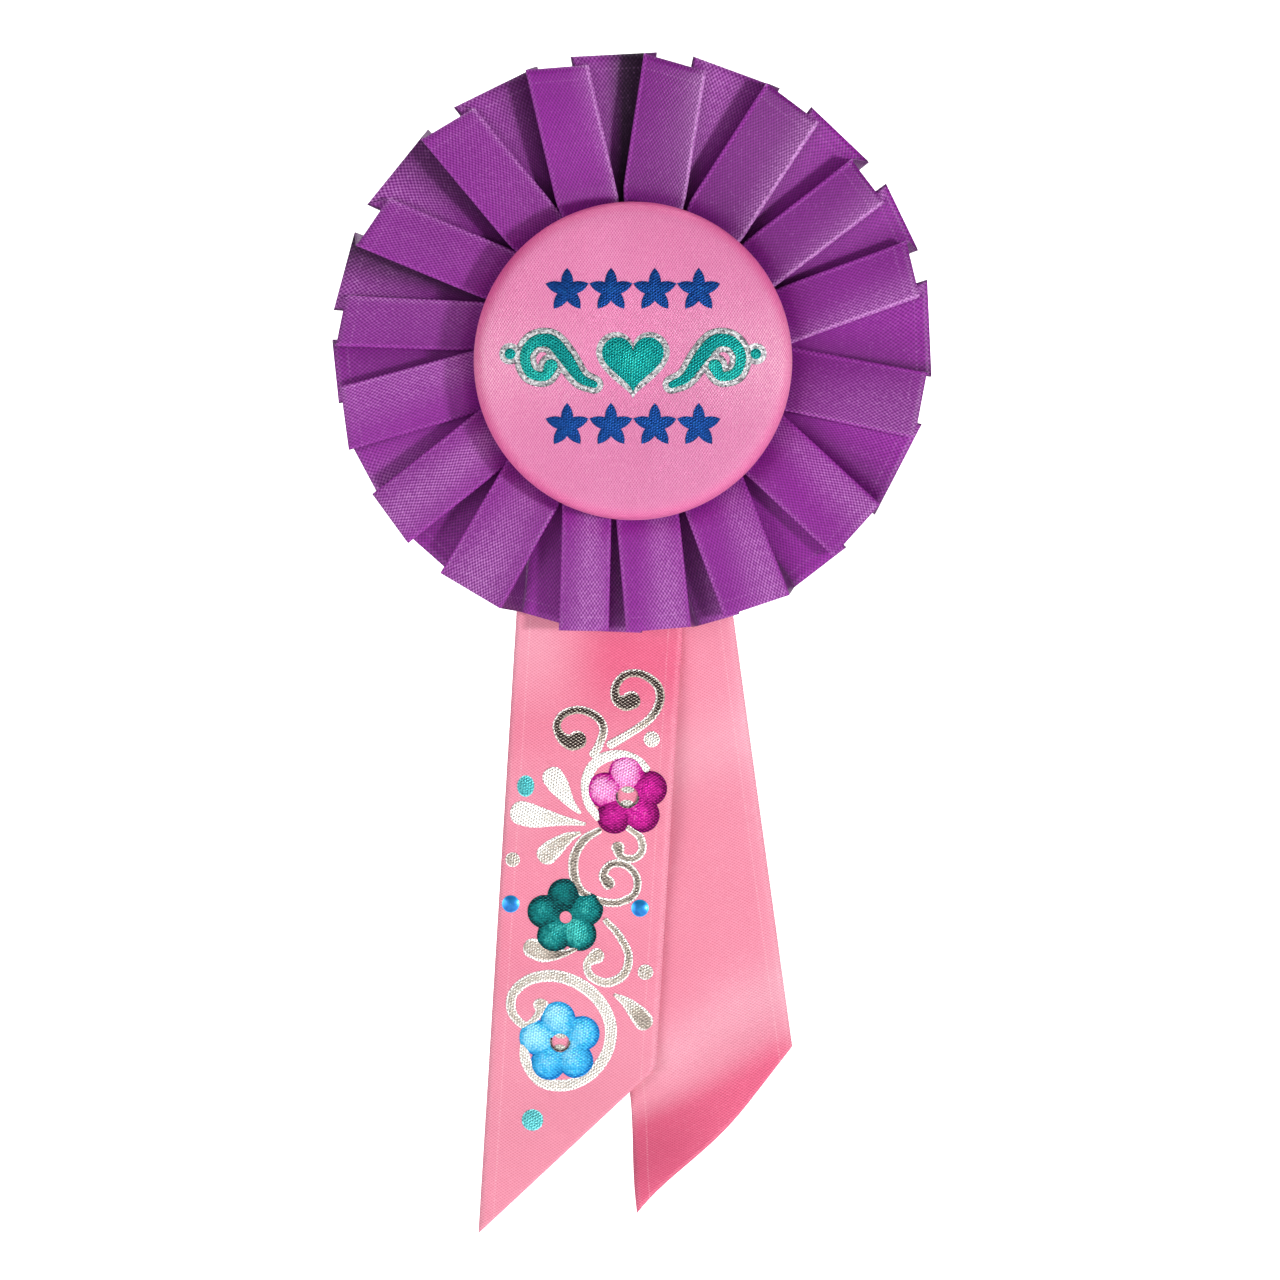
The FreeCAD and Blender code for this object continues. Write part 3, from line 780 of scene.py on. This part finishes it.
class Tail:
    """A strip of ribbon: where a point of it lies, from its place across and down the strip."""

    def __init__(self, top_x, tilt, length, cut, depth, shape, tone):
        self.tilt = math.radians(tilt)
        self.origin = Vector((top_x, depth, CENTRE_Z - TAIL_TOP))
        self.length = length
        self.width = TAIL_WIDTH
        self.cut = math.radians(cut)
        self.shape = shape
        self.tone = tone
        self.right = Vector((math.cos(self.tilt), 0, math.sin(self.tilt)))
        self.fall = Vector((math.sin(self.tilt), 0, -math.cos(self.tilt)))

    def end(self, across):
        """How far down the strip reaches at that place across it."""
        return self.length - (across + self.width / 2) * math.tan(self.cut)

    def at(self, across, down, lift=0.0):
        """A point of the strip, lift mm in front of its surface."""
        shift, forward, rise = self.shape(self, across, down)
        point = self.origin + self.right * (across + shift) + self.fall * (down - rise)
        point.y -= forward
        if lift:
            step = 0.3
            a = self.at(across + step, down) - self.at(across - step, down)
            b = self.at(across, down + step) - self.at(across, down - step)
            normal = a.cross(b).normalized()
            if normal.y > 0:
                normal = -normal
            point += normal * lift
        return point


def front_shape(tail, across, down):
    """How the front tail leaves its plane: slack waves, and its point curls up a little."""
    free = smooth((down - 42) / 20)
    side = across / (tail.width / 2)
    wave = 0.35 * math.sin(down * 0.11 - 4.6) + 0.12 * math.sin(down * 0.31 + across * 0.12)
    cup = -0.28 * side**2
    curled = 1.6 * smooth((down - 84) / 46) ** 1.3
    return 0.0, free * (wave + cup + curled + 0.35), 0.0


def back_shape(tail, across, down):
    """The back tail falls away behind, bends forward along its end, and its point curls up."""
    free = smooth((down - 30) / 30)
    side = across / (tail.width / 2)
    from_cut = (tail.end(across) - down) * math.cos(tail.cut)
    bend = 1.6 * smooth((13.0 - from_cut) / 14.0) ** 1.4
    from_point = math.hypot(across + tail.width / 2, tail.length - down)
    curled = smooth((24.0 - from_point) / 24.0) ** 1.3
    wave = 0.3 * math.sin(down * 0.09 + 0.6 + side * 0.5)
    forward = free * (wave - 0.9 - 0.35 * side**2 * (1 if side > 0 else 0.4)) + bend + 6.0 * curled
    return -1.3 * curled, forward, 3.0 * curled


def hill(x, centre, reach):
    """1 at the centre, falling off smoothly on both sides."""
    return math.exp(-(((x - centre) / reach) ** 2))


def front_painted_sheen_and_shade(across, down):
    """Painted sheen and shade of the front tail: deepest at the top right, palest at the left and
    towards the end.
    """
    right = smooth((across + 9) / 12)
    tone = 0.46 + 0.28 * hill(down, 38, 6) * (1 - right) - 0.46 * hill(down, 39, 8.5) * right
    tone += 0.18 * hill(down, 61, 5) * smooth((-across - 3) / 7) + 0.12 * smooth((down - 82) / 10)
    return tone - 0.10 * hill(down, 50, 4) * (1 - right)


def back_painted_sheen_and_shade(across, down):
    """Painted sheen and shade of the back tail: two slanting pale bands, and painted shade at its
    top and end.
    """
    tone = 0.48 + 0.12 * smooth((across - 8.5) / 3)
    tone += 0.32 * hill(down + 0.22 * across, 54.5, 5.0)
    tone += 0.36 * hill(down + 0.45 * across, 92.5, 4.6)
    tone -= 0.48 * smooth((down + 0.42 * across - 97.0) / 5.0)
    return tone - 0.42 * smooth((47 - down) / 8) * smooth((7 - across) / 8)


def make_tail(name, tail, nodes):
    """A tail as thin closed cloth, in the shape its Tail gives it."""
    rows = 150
    columns = 25
    points, uvs, whitening_and_sheen_values, tones = [], [], [], []
    for r in range(rows):
        for c in range(columns):
            across = tail.width * (c / (columns - 1) - 0.5)
            down = tail.end(across) * r / (rows - 1)
            points.append(tail.at(across, down))
            uvs.append((down, across + tail.width / 2))
            # the tone value paints sheen and shade on the strip
            tones.append(tail.tone(across, down))
            from_edge = tail.width / 2 - abs(across)
            whitening_and_sheen_values.append(0.25 * math.exp(-((from_edge / 0.4) ** 2)))
    faces = [tuple(reversed(face)) for face in grid_faces(rows, columns)]
    strip = mesh_object(name, points, faces, uvs, {"whitening_and_sheen": whitening_and_sheen_values, "tone": tones})
    thicken(strip, TAIL_CLOTH)
    strip.data.materials.append(satin(name + "_cloth", PINK, tail.width))
    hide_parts(*nodes)
    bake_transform(strip)


# --- Foil prints ---


def edge_light(x, y, from_middle):
    """A painted highlight along pressed foil's rim, lightest at its upper left."""
    if from_middle < 0.9:
        return 0.0
    return 0.95 - 0.3 * (0.75 * x + 0.65 * y) / max(math.hypot(x, y), 1e-6)


HUB = 0.02  # a patch's innermost ring, as a share of its size


class Print:
    """Foil shapes of one colour, pressed onto a surface given by at(across, down, lift)."""

    def __init__(self, surface, face=0.0, outline=0.0):
        """face is how far the cloth's face stands in front of its surface function.

        outline is the width of the painted highlight along a stroke's rim.
        """
        self.surface = surface
        self.face = face
        self.outline = outline
        self.points, self.uvs, self.tones, self.faces = [], [], [], []

    def add(self, grid, closed=False):
        """A grid of (across, down, lift, tone) rows."""
        first = len(self.points)
        columns = len(grid[0])
        for row in grid:
            for across, down, lift, tone in row:
                self.points.append(self.surface(across, down, self.face + lift))
                self.uvs.append((across, down))
                self.tones.append(tone)
        for face in grid_faces(len(grid), columns, closed):
            self.faces.append(tuple(first + k for k in face))

    def patch(self, centre, rings, steps, shape):
        """A closed shape round a centre.

        shape gives (across, down, lift, tone) from the angle and from 0 to 1 outwards.
        """
        rows = []
        for k in range(rings):
            row = []
            for j in range(steps):
                x, y, lift, tone = shape(2 * math.pi * j / steps, k / (rings - 1))
                row.append((centre[0] + x, centre[1] + y, lift, tone))
            rows.append(row)
        self.add(rows, closed=True)

    def disc(self, centre, radius, tone=0.5, tall=1.0, lift=0.05, dome=0.10, shade=0.0):
        """A round or oval spot, slightly domed."""

        def shape(a, out):
            r = radius * mix(HUB, 1.0, out)
            x, y = r * math.sin(a), r * math.cos(a)
            # painted light: a highlight round the rim, and painted shade towards the bottom by
            # shade
            glow = edge_light(x, y, out) if radius > 0.9 else 0.0
            return x, y * tall, lift + dome * (1 - out**2), tone - shade * y / radius + glow

        self.patch(centre, 7, 28, shape)

    def stroke(self, line, tone=(0.5, 0.5), lift=0.05, dome=0.07, samples=10):
        """A line through (across, down, half width) points with round ends."""
        path = spline([Vector(p) for p in line], samples)
        spine = []
        for k, p in enumerate(path):
            ahead = path[min(k + 1, len(path) - 1)] - path[max(k - 1, 0)]
            direction = Vector((ahead.x, ahead.y)).normalized()
            spine.append((Vector((p.x, p.y)), direction, p.z))
        for end in (0, -1):
            point, direction, width = spine[end]
            outward = -direction if end == 0 else direction
            caps = []
            for k in range(1, 5):
                a = math.pi / 2 * k / 4
                tip = point + outward * width * math.sin(a)
                caps.append((tip, direction, max(width * math.cos(a), 0.005)))
            spine = caps[::-1] + spine if end == 0 else spine + caps
        rows = []
        for k, (point, direction, width) in enumerate(spine):
            side = Vector((-direction.y, direction.x))
            share = k / (len(spine) - 1)
            row = []
            outer = width + self.outline * 0.7
            inner = max(outer - self.outline, 0.45 * outer)
            # painted reflection: the tone runs from the start's to the end's, and a painted
            # highlight lines the rim
            turn_at = 0.62 if tone[1] > tone[0] + 0.6 else 0.3
            base = mix(tone[0], tone[1], smooth((share - turn_at) / 0.3))
            for reach in (-outer, -inner, -0.8 * inner, 0.0, 0.8 * inner, inner, outer):
                x, y = side * reach
                level = base + edge_light(x, y, 1.0 if abs(reach) >= inner else 0.0)
                height = lift + dome * (1 - (reach / outer) ** 2)
                row.append((point.x + x, point.y + y, height, level))
            rows.append(row)
        self.add(rows)

    def flower(self, centre, radius, petal, hole, turn, tones):
        """Five round petals round a hole, each domed, darker along its outline.

        tones are the petals' painted light and shade, clockwise from the top.
        """
        petal_angle = 2 * math.pi / 5
        reach = radius - petal

        def shape(a, out):
            near = (a - turn + petal_angle / 2) % petal_angle - petal_angle / 2
            root = max(petal**2 - (reach * math.sin(near)) ** 2, 0.0)
            r = mix(hole, reach * math.cos(near) + math.sqrt(root), out)
            side = r * math.sin(near)
            along = r * math.cos(near) - reach
            inside = min(math.hypot(side, along) / petal, 1.0)
            crease = smooth(abs(near) / petal_angle * 3.2 - 0.6) * smooth(r / radius * 2 - 0.6)
            height = max(0.07 + 0.22 * (1 - inside**2) - 0.05 * crease, 0.04)
            # painted light and shade: each petal lighter on one side and in its middle, darker
            # along its outline, and painted shade in the creases between petals
            lit = side * math.cos(a) + along * math.sin(a) - along * math.cos(a)
            level = tones[round((a - turn) / petal_angle) % 5] - 0.16 * lit / petal
            level += 0.25 * (1 - inside) - 0.55 * smooth((out - 0.80) / 0.2) - 0.3 * crease
            return r * math.sin(a), -r * math.cos(a), height, level

        self.patch(centre, 13, 120, shape)

    def star(self, centre, radius, tone):
        """A star with five soft points, raised in the middle."""

        def shape(a, out):
            point = abs(a * 5 / math.pi % 2 - 1)
            r = mix(0.46, 1.0, point**1.15) * radius * mix(HUB, 1.0, out)
            height = 0.06 + 0.10 * (1 - out**2)
            # a painted highlight in the middle, darker towards the points
            return r * math.sin(a), -r * math.cos(a), height, tone + 0.2 * (0.5 - out)

        self.patch(centre, 8, 40, shape)

    def heart(self, centre, size, tone=0.5, grow=0.0, lift=0.06, dome=0.16):
        """A heart, grown outwards by grow mm."""

        def shape(a, out):
            x = 16 * math.sin(a) ** 3
            y = 13 * math.cos(a) - 5 * math.cos(2 * a) - 2 * math.cos(3 * a) - math.cos(4 * a)
            edge = Vector((x, -y)) * size / 16
            x, y = (edge + edge.normalized() * grow) * mix(HUB, 1.0, out)
            # a painted highlight in the middle, darker towards the edge
            return x, y, lift + dome * (1 - out**2), tone + 0.25 * (0.5 - out)

        self.patch(centre, 9, 72, shape)

    def finish(self, name, material, body):
        """The pressed shapes as one piece."""
        obj = mesh_object(name, self.points, self.faces, self.uvs, {"tone": self.tones})
        edit_mesh(obj, face_viewer)
        obj.data.materials.append(material)
        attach(obj, body)


def face_viewer(work):
    """Turns every face of a thin print's bmesh to face the viewer."""
    work.normal_update()
    bmesh.ops.reverse_faces(work, faces=[f for f in work.faces if f.normal.y > 0])


def spline(points, samples):
    """A smooth line through the points, with so many steps from each to the next."""
    line = []
    padded = [points[0] * 2 - points[1]] + points + [points[-1] * 2 - points[-2]]
    for i in range(1, len(padded) - 2):
        p0, p1, p2, p3 = padded[i - 1 : i + 3]
        for k in range(samples):
            t = k / samples
            line.append(
                0.5 * ((2 * p1) + (p2 - p0) * t + (2 * p0 - 5 * p1 + 4 * p2 - p3) * t**2
                       + (3 * p1 - p0 - 3 * p2 + p3) * t**3)
            )
    line.append(points[-1])
    return line


# The silver lines down the front tail: their painted reflection tone at start and end, how many
# steps lie between two points, and the points (across, down, half width).
SILVER_LINES = [
    # upper scrolls, with painted reflection: dark at their tops and light towards the stem
    ((-0.25, 0.82), 8, [(5.2, 44.9, 1.15), (4.2, 45.3, 1.0), (3.0, 44.8, 0.6), (2.8, 43.1, 0.45),
        (4.1, 41.4, 0.42), (6.4, 41.2, 0.42), (8.6, 42.6, 0.48), (9.1, 44.8, 0.5),
        (7.9, 47.3, 0.45), (5.4, 49.4, 0.42), (2.6, 51.3, 0.5)]),
    ((-0.25, 0.80), 8, [(-2.0, 50.9, 1.15), (-3.0, 51.3, 1.0), (-4.4, 50.6, 0.6),
        (-5.1, 49.0, 0.42), (-4.2, 47.4, 0.42), (-2.0, 46.7, 0.42), (0.4, 47.5, 0.45),
        (1.5, 49.2, 0.45), (1.0, 51.4, 0.45), (0.3, 52.8, 0.5)]),
    # stem round the first flower
    ((0.95, 0.95), 6, [(7.9, 54.4, 0.35), (6.6, 53.4, 0.5), (4.6, 52.7, 0.55), (2.5, 52.9, 0.6),
        (0.9, 53.8, 0.62), (-0.2, 55.4, 0.6), (-0.5, 57.4, 0.55), (0.1, 59.8, 0.5),
        (1.5, 61.6, 0.4)]),
    # drops
    ((0.9, 1.0), 10, [(-5.2, 56.3, 1.35), (-4.2, 57.6, 1.25), (-2.6, 59.7, 0.55),
        (-1.1, 61.1, 0.1)]),
    ((1.0, 0.75), 10, [(-9.3, 61.6, 1.55), (-7.2, 62.0, 1.4), (-3.6, 62.3, 0.6),
        (-0.3, 62.6, 0.1)]),
    ((0.65, 0.5), 10, [(-5.4, 67.2, 1.3), (-4.4, 66.2, 1.2), (-2.6, 64.7, 0.65),
        (-0.9, 63.9, 0.1)]),
    # middle scrolls
    ((0.24, 0.20), 8, [(1.7, 63.4, 0.35), (-0.3, 64.8, 0.5), (-1.5, 67.2, 0.55),
        (-1.4, 69.8, 0.55), (-0.3, 72.0, 0.5), (2.2, 73.2, 0.45), (5.0, 73.3, 0.42),
        (7.2, 72.0, 0.42), (7.4, 69.7, 0.42), (5.8, 68.0, 0.42), (3.7, 68.0, 0.42),
        (2.7, 69.5, 0.5), (3.5, 70.7, 0.8)]),
    ((0.40, 0.28), 8, [(5.8, 62.8, 0.3), (7.5, 64.0, 0.42), (7.9, 65.8, 0.42), (6.8, 67.0, 0.42),
        (5.0, 66.8, 0.45), (4.5, 65.6, 0.8)]),
    # lower scrolls
    ((0.55, 0.1), 10, [(-6.6, 80.4, 1.25), (-4.8, 81.0, 1.15), (-2.2, 80.9, 0.4),
        (0.4, 79.6, 0.1)]),
    ((0.4, 0.55), 8, [(3.4, 75.9, 0.3), (5.4, 77.9, 0.4), (6.9, 80.6, 0.45), (6.4, 83.3, 0.5),
        (4.2, 84.6, 0.5), (1.9, 83.9, 0.45), (1.2, 82.2, 0.45), (2.5, 80.9, 0.95)]),
    ((0.6, 0.75), 8, [(-4.9, 88.4, 1.0), (-5.2, 89.6, 0.4), (-6.8, 91.3, 0.4), (-8.8, 89.7, 0.5),
        (-9.0, 87.2, 0.55), (-7.0, 85.0, 0.62), (-3.6, 84.1, 0.68), (0.0, 84.9, 0.72),
        (3.2, 87.2, 0.72), (5.0, 90.6, 0.7), (4.7, 94.4, 0.66), (2.5, 97.7, 0.62),
        (-0.8, 99.3, 0.66), (-4.2, 98.9, 0.7), (-6.5, 96.3, 0.6), (-6.9, 93.6, 0.45)]),
    ((0.35, 0.7), 10, [(9.6, 89.7, 1.2), (8.7, 88.7, 1.1), (7.0, 87.2, 0.6), (5.3, 86.2, 0.1)]),
]


def make_tail_prints(tail):
    """Flowers, scrolls, drops and dots of foil down the front tail."""

    def blank(outline=0.0):
        return Print(tail.at, TAIL_CLOTH / 2, outline)

    def flower(colour, tones, *shape):
        petals = blank()
        petals.flower(*shape)
        petals.finish("tail_print_" + colour, foil(colour + "_foil", *tones, 0.35), FRONT_BODY)

    lines = blank(outline=0.2)
    for tone, samples, points in SILVER_LINES:
        lines.stroke(points, tone=tone, samples=samples)
    lines.disc((8.3, 50.2), 1.12, tone=0.8)
    lines.disc((-10.1, 68.2), 1.02, tone=0.6)
    lines.disc((9.4, 82.8), 1.08, tone=0.6)
    silver = foil("silver_foil", (50, 38, 36), (182, 170, 158), (255, 253, 250), 0.55)
    lines.finish("tail_print_silver", silver, FRONT_BODY)
    flower(
        "magenta", ((96, 0, 70), (198, 32, 146), (250, 172, 222)),
        (5.4, 58.4), 5.75, 2.5, 1.5, -0.10, (0.80, 0.20, 0.24, 0.16, 0.74),
    )
    flower(
        "teal", ((0, 44, 50), (14, 120, 120), (84, 214, 204)),
        (-2.2, 75.8), 5.45, 2.35, 0.85, -0.12, (0.10, 0.34, 0.54, 0.44, 0.28),
    )
    spots = blank()
    spots.disc((-8.9, 57.8), 1.2, tone=0.55, tall=1.25)
    spots.disc((-5.1, 104.4), 1.5, tone=0.7)
    turquoise = foil("turquoise_foil", (0, 96, 110), (70, 168, 174), (130, 225, 228), 0.5)
    spots.finish("tail_print_turquoise", turquoise, FRONT_BODY)
    flower(
        "sky", ((14, 104, 180), (58, 172, 226), (160, 226, 248)),
        (-1.9, 93.4), 5.8, 2.45, 1.3, -0.15, (0.66, 0.48, 0.44, 0.42, 0.74),
    )
    gems = blank()
    for centre in ((-10.0, 74.4), (8.1, 73.9)):
        gems.disc(centre, 1.22, tone=0.45, dome=0.30, shade=0.2)
    gems.finish("tail_print_blue", gem("blue_gem"), FRONT_BODY)
    rings = blank()
    for x, y, radius in ((5.4, 58.4, 1.5), (-1.9, 93.2, 1.3)):
        # the lower part of a dark ring round the flower's hole, and two pale spots in it
        angles = [2 * math.pi * k / 24 for k in range(6, 20)]
        arc = [(x + radius * math.sin(a), y - radius * math.cos(a), 0.13) for a in angles]
        rings.stroke(arc, tone=(0.1, 0.1), lift=0.24, dome=0.02, samples=2)
        for side in (-1, 1):
            spot = (x, y + 0.62 * side * radius)
            rings.disc(spot, radius * 0.6, tone=0.75, tall=0.5, dome=0.04)
    ring_foil = foil("ring_foil", (40, 30, 40), (150, 140, 130), (245, 245, 240), 0.5)
    rings.finish("tail_print_rings", ring_foil, FRONT_BODY)


STAR_RADIUS = 3.15
STAR_SPACING = 6.1
HEART_SIZE = 4.3
# The scroll at the right of the heart: points (across, down, half width). Then the dot at its end.
SCROLL = [
    (5.4, 3.4, 0.5), (7.4, 2.4, 0.7), (9.4, -0.4, 0.95), (11.4, -2.6, 0.95), (13.7, -2.5, 0.85),
    (15.0, -0.6, 0.75), (14.3, 1.7, 0.7), (12.3, 2.2, 0.7), (11.4, 0.8, 0.95),
]
SCROLL_DOT = (17.1, -0.9)


def make_button_print(profile):
    """Rows of stars above and below a heart between two scrolls, all in foil on the button."""

    def at(across, down, lift):
        r = math.hypot(across, down)
        y = profile[-1][1]
        for (r0, y0), (r1, y1) in zip(profile, profile[1:]):
            if r0 <= r <= r1:
                y = mix(y0, y1, (r - r0) / (r1 - r0))
                break
        return Vector((across, y - lift, BUTTON_Z - down))

    def scroll(side, grow):
        """One scroll beside the heart, mirrored by side."""
        return [(side * x, y, w + grow) for x, y, w in SCROLL]

    navy = Print(at)
    for down in (-9.7, 9.1):
        for k in range(4):
            navy.star(((k - 1.5) * STAR_SPACING, down), STAR_RADIUS, tone=0.4)
    navy_foil = foil("navy_foil", (6, 30, 82), (14, 66, 138), (40, 130, 196), 0.4)
    navy.finish("button_print_stars", navy_foil, ROOT)
    teal = Print(at)
    halo = Print(at)
    teal.heart((0, 0), HEART_SIZE)
    halo.heart((0, 0), HEART_SIZE, grow=0.85, lift=0.02, dome=0.03)
    for side in (-1, 1):
        dot = (side * SCROLL_DOT[0], SCROLL_DOT[1])
        teal.stroke(scroll(side, 0.0), tone=(0.35, 0.6), lift=0.08, dome=0.08, samples=8)
        teal.disc(dot, 0.75, lift=0.08)
        halo.stroke(scroll(side, 0.8), lift=0.025 + 0.004 * side, dome=0.01, samples=8)
        halo.disc(dot, 1.5, lift=0.02, dome=0.01)
    teal_foil = foil("button_teal_foil", (0, 78, 86), (8, 140, 136), (64, 206, 188), 0.4)
    teal.finish("button_print_heart", teal_foil, ROOT)
    halo.finish("button_print_halo", glitter("silver_glitter"), ROOT)


# --- Carried-over hardware ---


def dress_hardware():
    """Materials of the pieces that keep their modelled shape."""
    nickel = plated("nickel_plate", (0.52, 0.51, 0.49, 1.0), 0.26)
    tin = plated("tinplate", (0.62, 0.63, 0.64, 1.0), 0.36)
    card = pulp("white_card", srgb(206, 204, 197))
    foam = pulp("foam_tape", srgb(196, 198, 200), fibre=0.4)
    materials = {
        nickel: ("pin_bar", "hinge_rivet", "catch_housing", "catch_sleeve"),
        plated("needle_steel", (0.78, 0.78, 0.77, 1.0), 0.22): ("pin_needle",),
        plated("staple_wire", (0.70, 0.70, 0.70, 1.0), 0.28): ("tail_staples",),
        tin: ("button_shell", "button_back_plate"),
        card: ("pleat_card", "backing_card"),
        foam: ("adhesive_pad",),
        glue("hot_melt"): ("hot_glue",),
    }
    for material, names in materials.items():
        for name in names:
            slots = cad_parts[name].data.materials
            slots.clear()
            slots.append(material)


# --- Camera, lights and backdrop ---


def area_light(name, place, target, size, power):
    """A soft rectangular light that the camera doesn't see."""
    data = bpy.data.lights.new(name, "AREA")
    data.shape = "RECTANGLE"
    data.size, data.size_y = size
    data.energy = power
    obj = bpy.data.objects.new(name, data)
    obj.location = place
    obj.rotation_euler = (Vector(target) - Vector(place)).to_track_quat("-Z", "Y").to_euler()
    obj.visible_camera = False
    bpy.context.collection.objects.link(obj)


def make_studio():
    """A long-lens camera straight in front, a pale sweep and soft lights."""
    scene = bpy.context.scene
    middle = Vector((0.98, -8.0, CENTRE_Z - 41.7)) * MM
    distance = 1.6
    field = 0.179  # width of the view at the object
    half_width, straight, curve, height = 1.4, 1.9, 0.5, 2.2  # of the sweep behind the object
    camera_data = bpy.data.cameras.new("camera")
    camera_data.sensor_width = 36.0
    camera_data.lens = 36.0 * distance / field
    camera_data.clip_end = 20.0
    camera = bpy.data.objects.new("camera", camera_data)
    camera.location = middle + Vector((0, -distance, 0))
    camera.rotation_euler = (math.radians(90), 0, 0)
    bpy.context.collection.objects.link(camera)
    scene.camera = camera
    floor_z = CAD_BOX[0][2] - 0.10
    profile = [(-half_width, 0.0)]
    for k in range(13):
        a = math.pi / 2 * k / 12
        profile.append((straight + curve * math.sin(a), curve - curve * math.cos(a)))
    profile.append((straight + curve, height))
    points = [
        Vector((x, y, floor_z + z)) / MM for y, z in profile for x in (-half_width, half_width)
    ]
    sweep = mesh_object("studio_sweep", points, grid_faces(len(profile), 2))
    sweep.data.materials.append(Shader("pale_paper").done((0.93, 0.93, 0.93, 1.0), 0.9))
    world = bpy.data.worlds.new("studio")
    world.use_nodes = True
    tree = world.node_tree
    level = tree.nodes.new("ShaderNodeSeparateXYZ")
    tree.links.new(tree.nodes.new("ShaderNodeTexCoord").outputs["Generated"], level.inputs[0])
    band = tree.nodes.new("ShaderNodeMapRange")
    # bright from the floor up to a little over the horizon, and nearly dark above
    limits = (("From Min", 0.12), ("From Max", 0.32), ("To Min", 0.45), ("To Max", 0.03))
    for socket, value in limits:
        band.inputs[socket].default_value = value
    tree.links.new(level.outputs[2], band.inputs["Value"])
    tree.links.new(band.outputs[0], tree.nodes["Background"].inputs["Strength"])
    tree.nodes["Background"].inputs["Color"].default_value = (1.0, 1.0, 1.0, 1.0)
    scene.world = world
    target = (0.0, -0.01, -0.04)  # the middle of the ribbon
    area_light("key", (0.52, -0.56, -0.08), target, (0.08, 0.08), 3.6)
    area_light("low", (-0.22, -0.45, -0.42), target, (0.30, 0.20), 0.8)
    area_light("left", (-0.55, -0.55, -0.05), target, (0.4, 0.4), 2.2)
    area_light("top", (0.05, -0.45, 0.65), target, (0.5, 0.3), 0.5)
    # one lights the floor behind the object, and the other the wall
    area_light("behind", (0.0, 0.35, 1.2), (0.0, 1.0, 0.0), (1.6, 0.5), 30.0)
    area_light("wall", (0.0, 1.4, 1.3), (0.0, 2.4, 0.0), (1.4, 0.4), 34.0)
    scene.view_settings.view_transform = "Standard"
    scene.view_settings.look = "None"


FRONT = Tail(
    top_x=-2.6, tilt=-3.5, length=120.7, cut=46.5,
    depth=FRONT_TAIL_Y, shape=front_shape, tone=front_painted_sheen_and_shade,
)
BACK = Tail(
    top_x=-2.3, tilt=7.8, length=119.0, cut=44.4,
    depth=BACK_TAIL_Y, shape=back_shape, tone=back_painted_sheen_and_shade,
)

make_studio()
dress_hardware()
make_pleated_ribbon()
make_button_print(make_button_cover())
make_tail(
    "front_tail_satin", FRONT,
    ("front_tail", "front_tail_top"),
)
make_tail(
    "back_tail_satin", BACK,
    ("back_tail", "back_tail_top"),
)
make_tail_prints(FRONT)
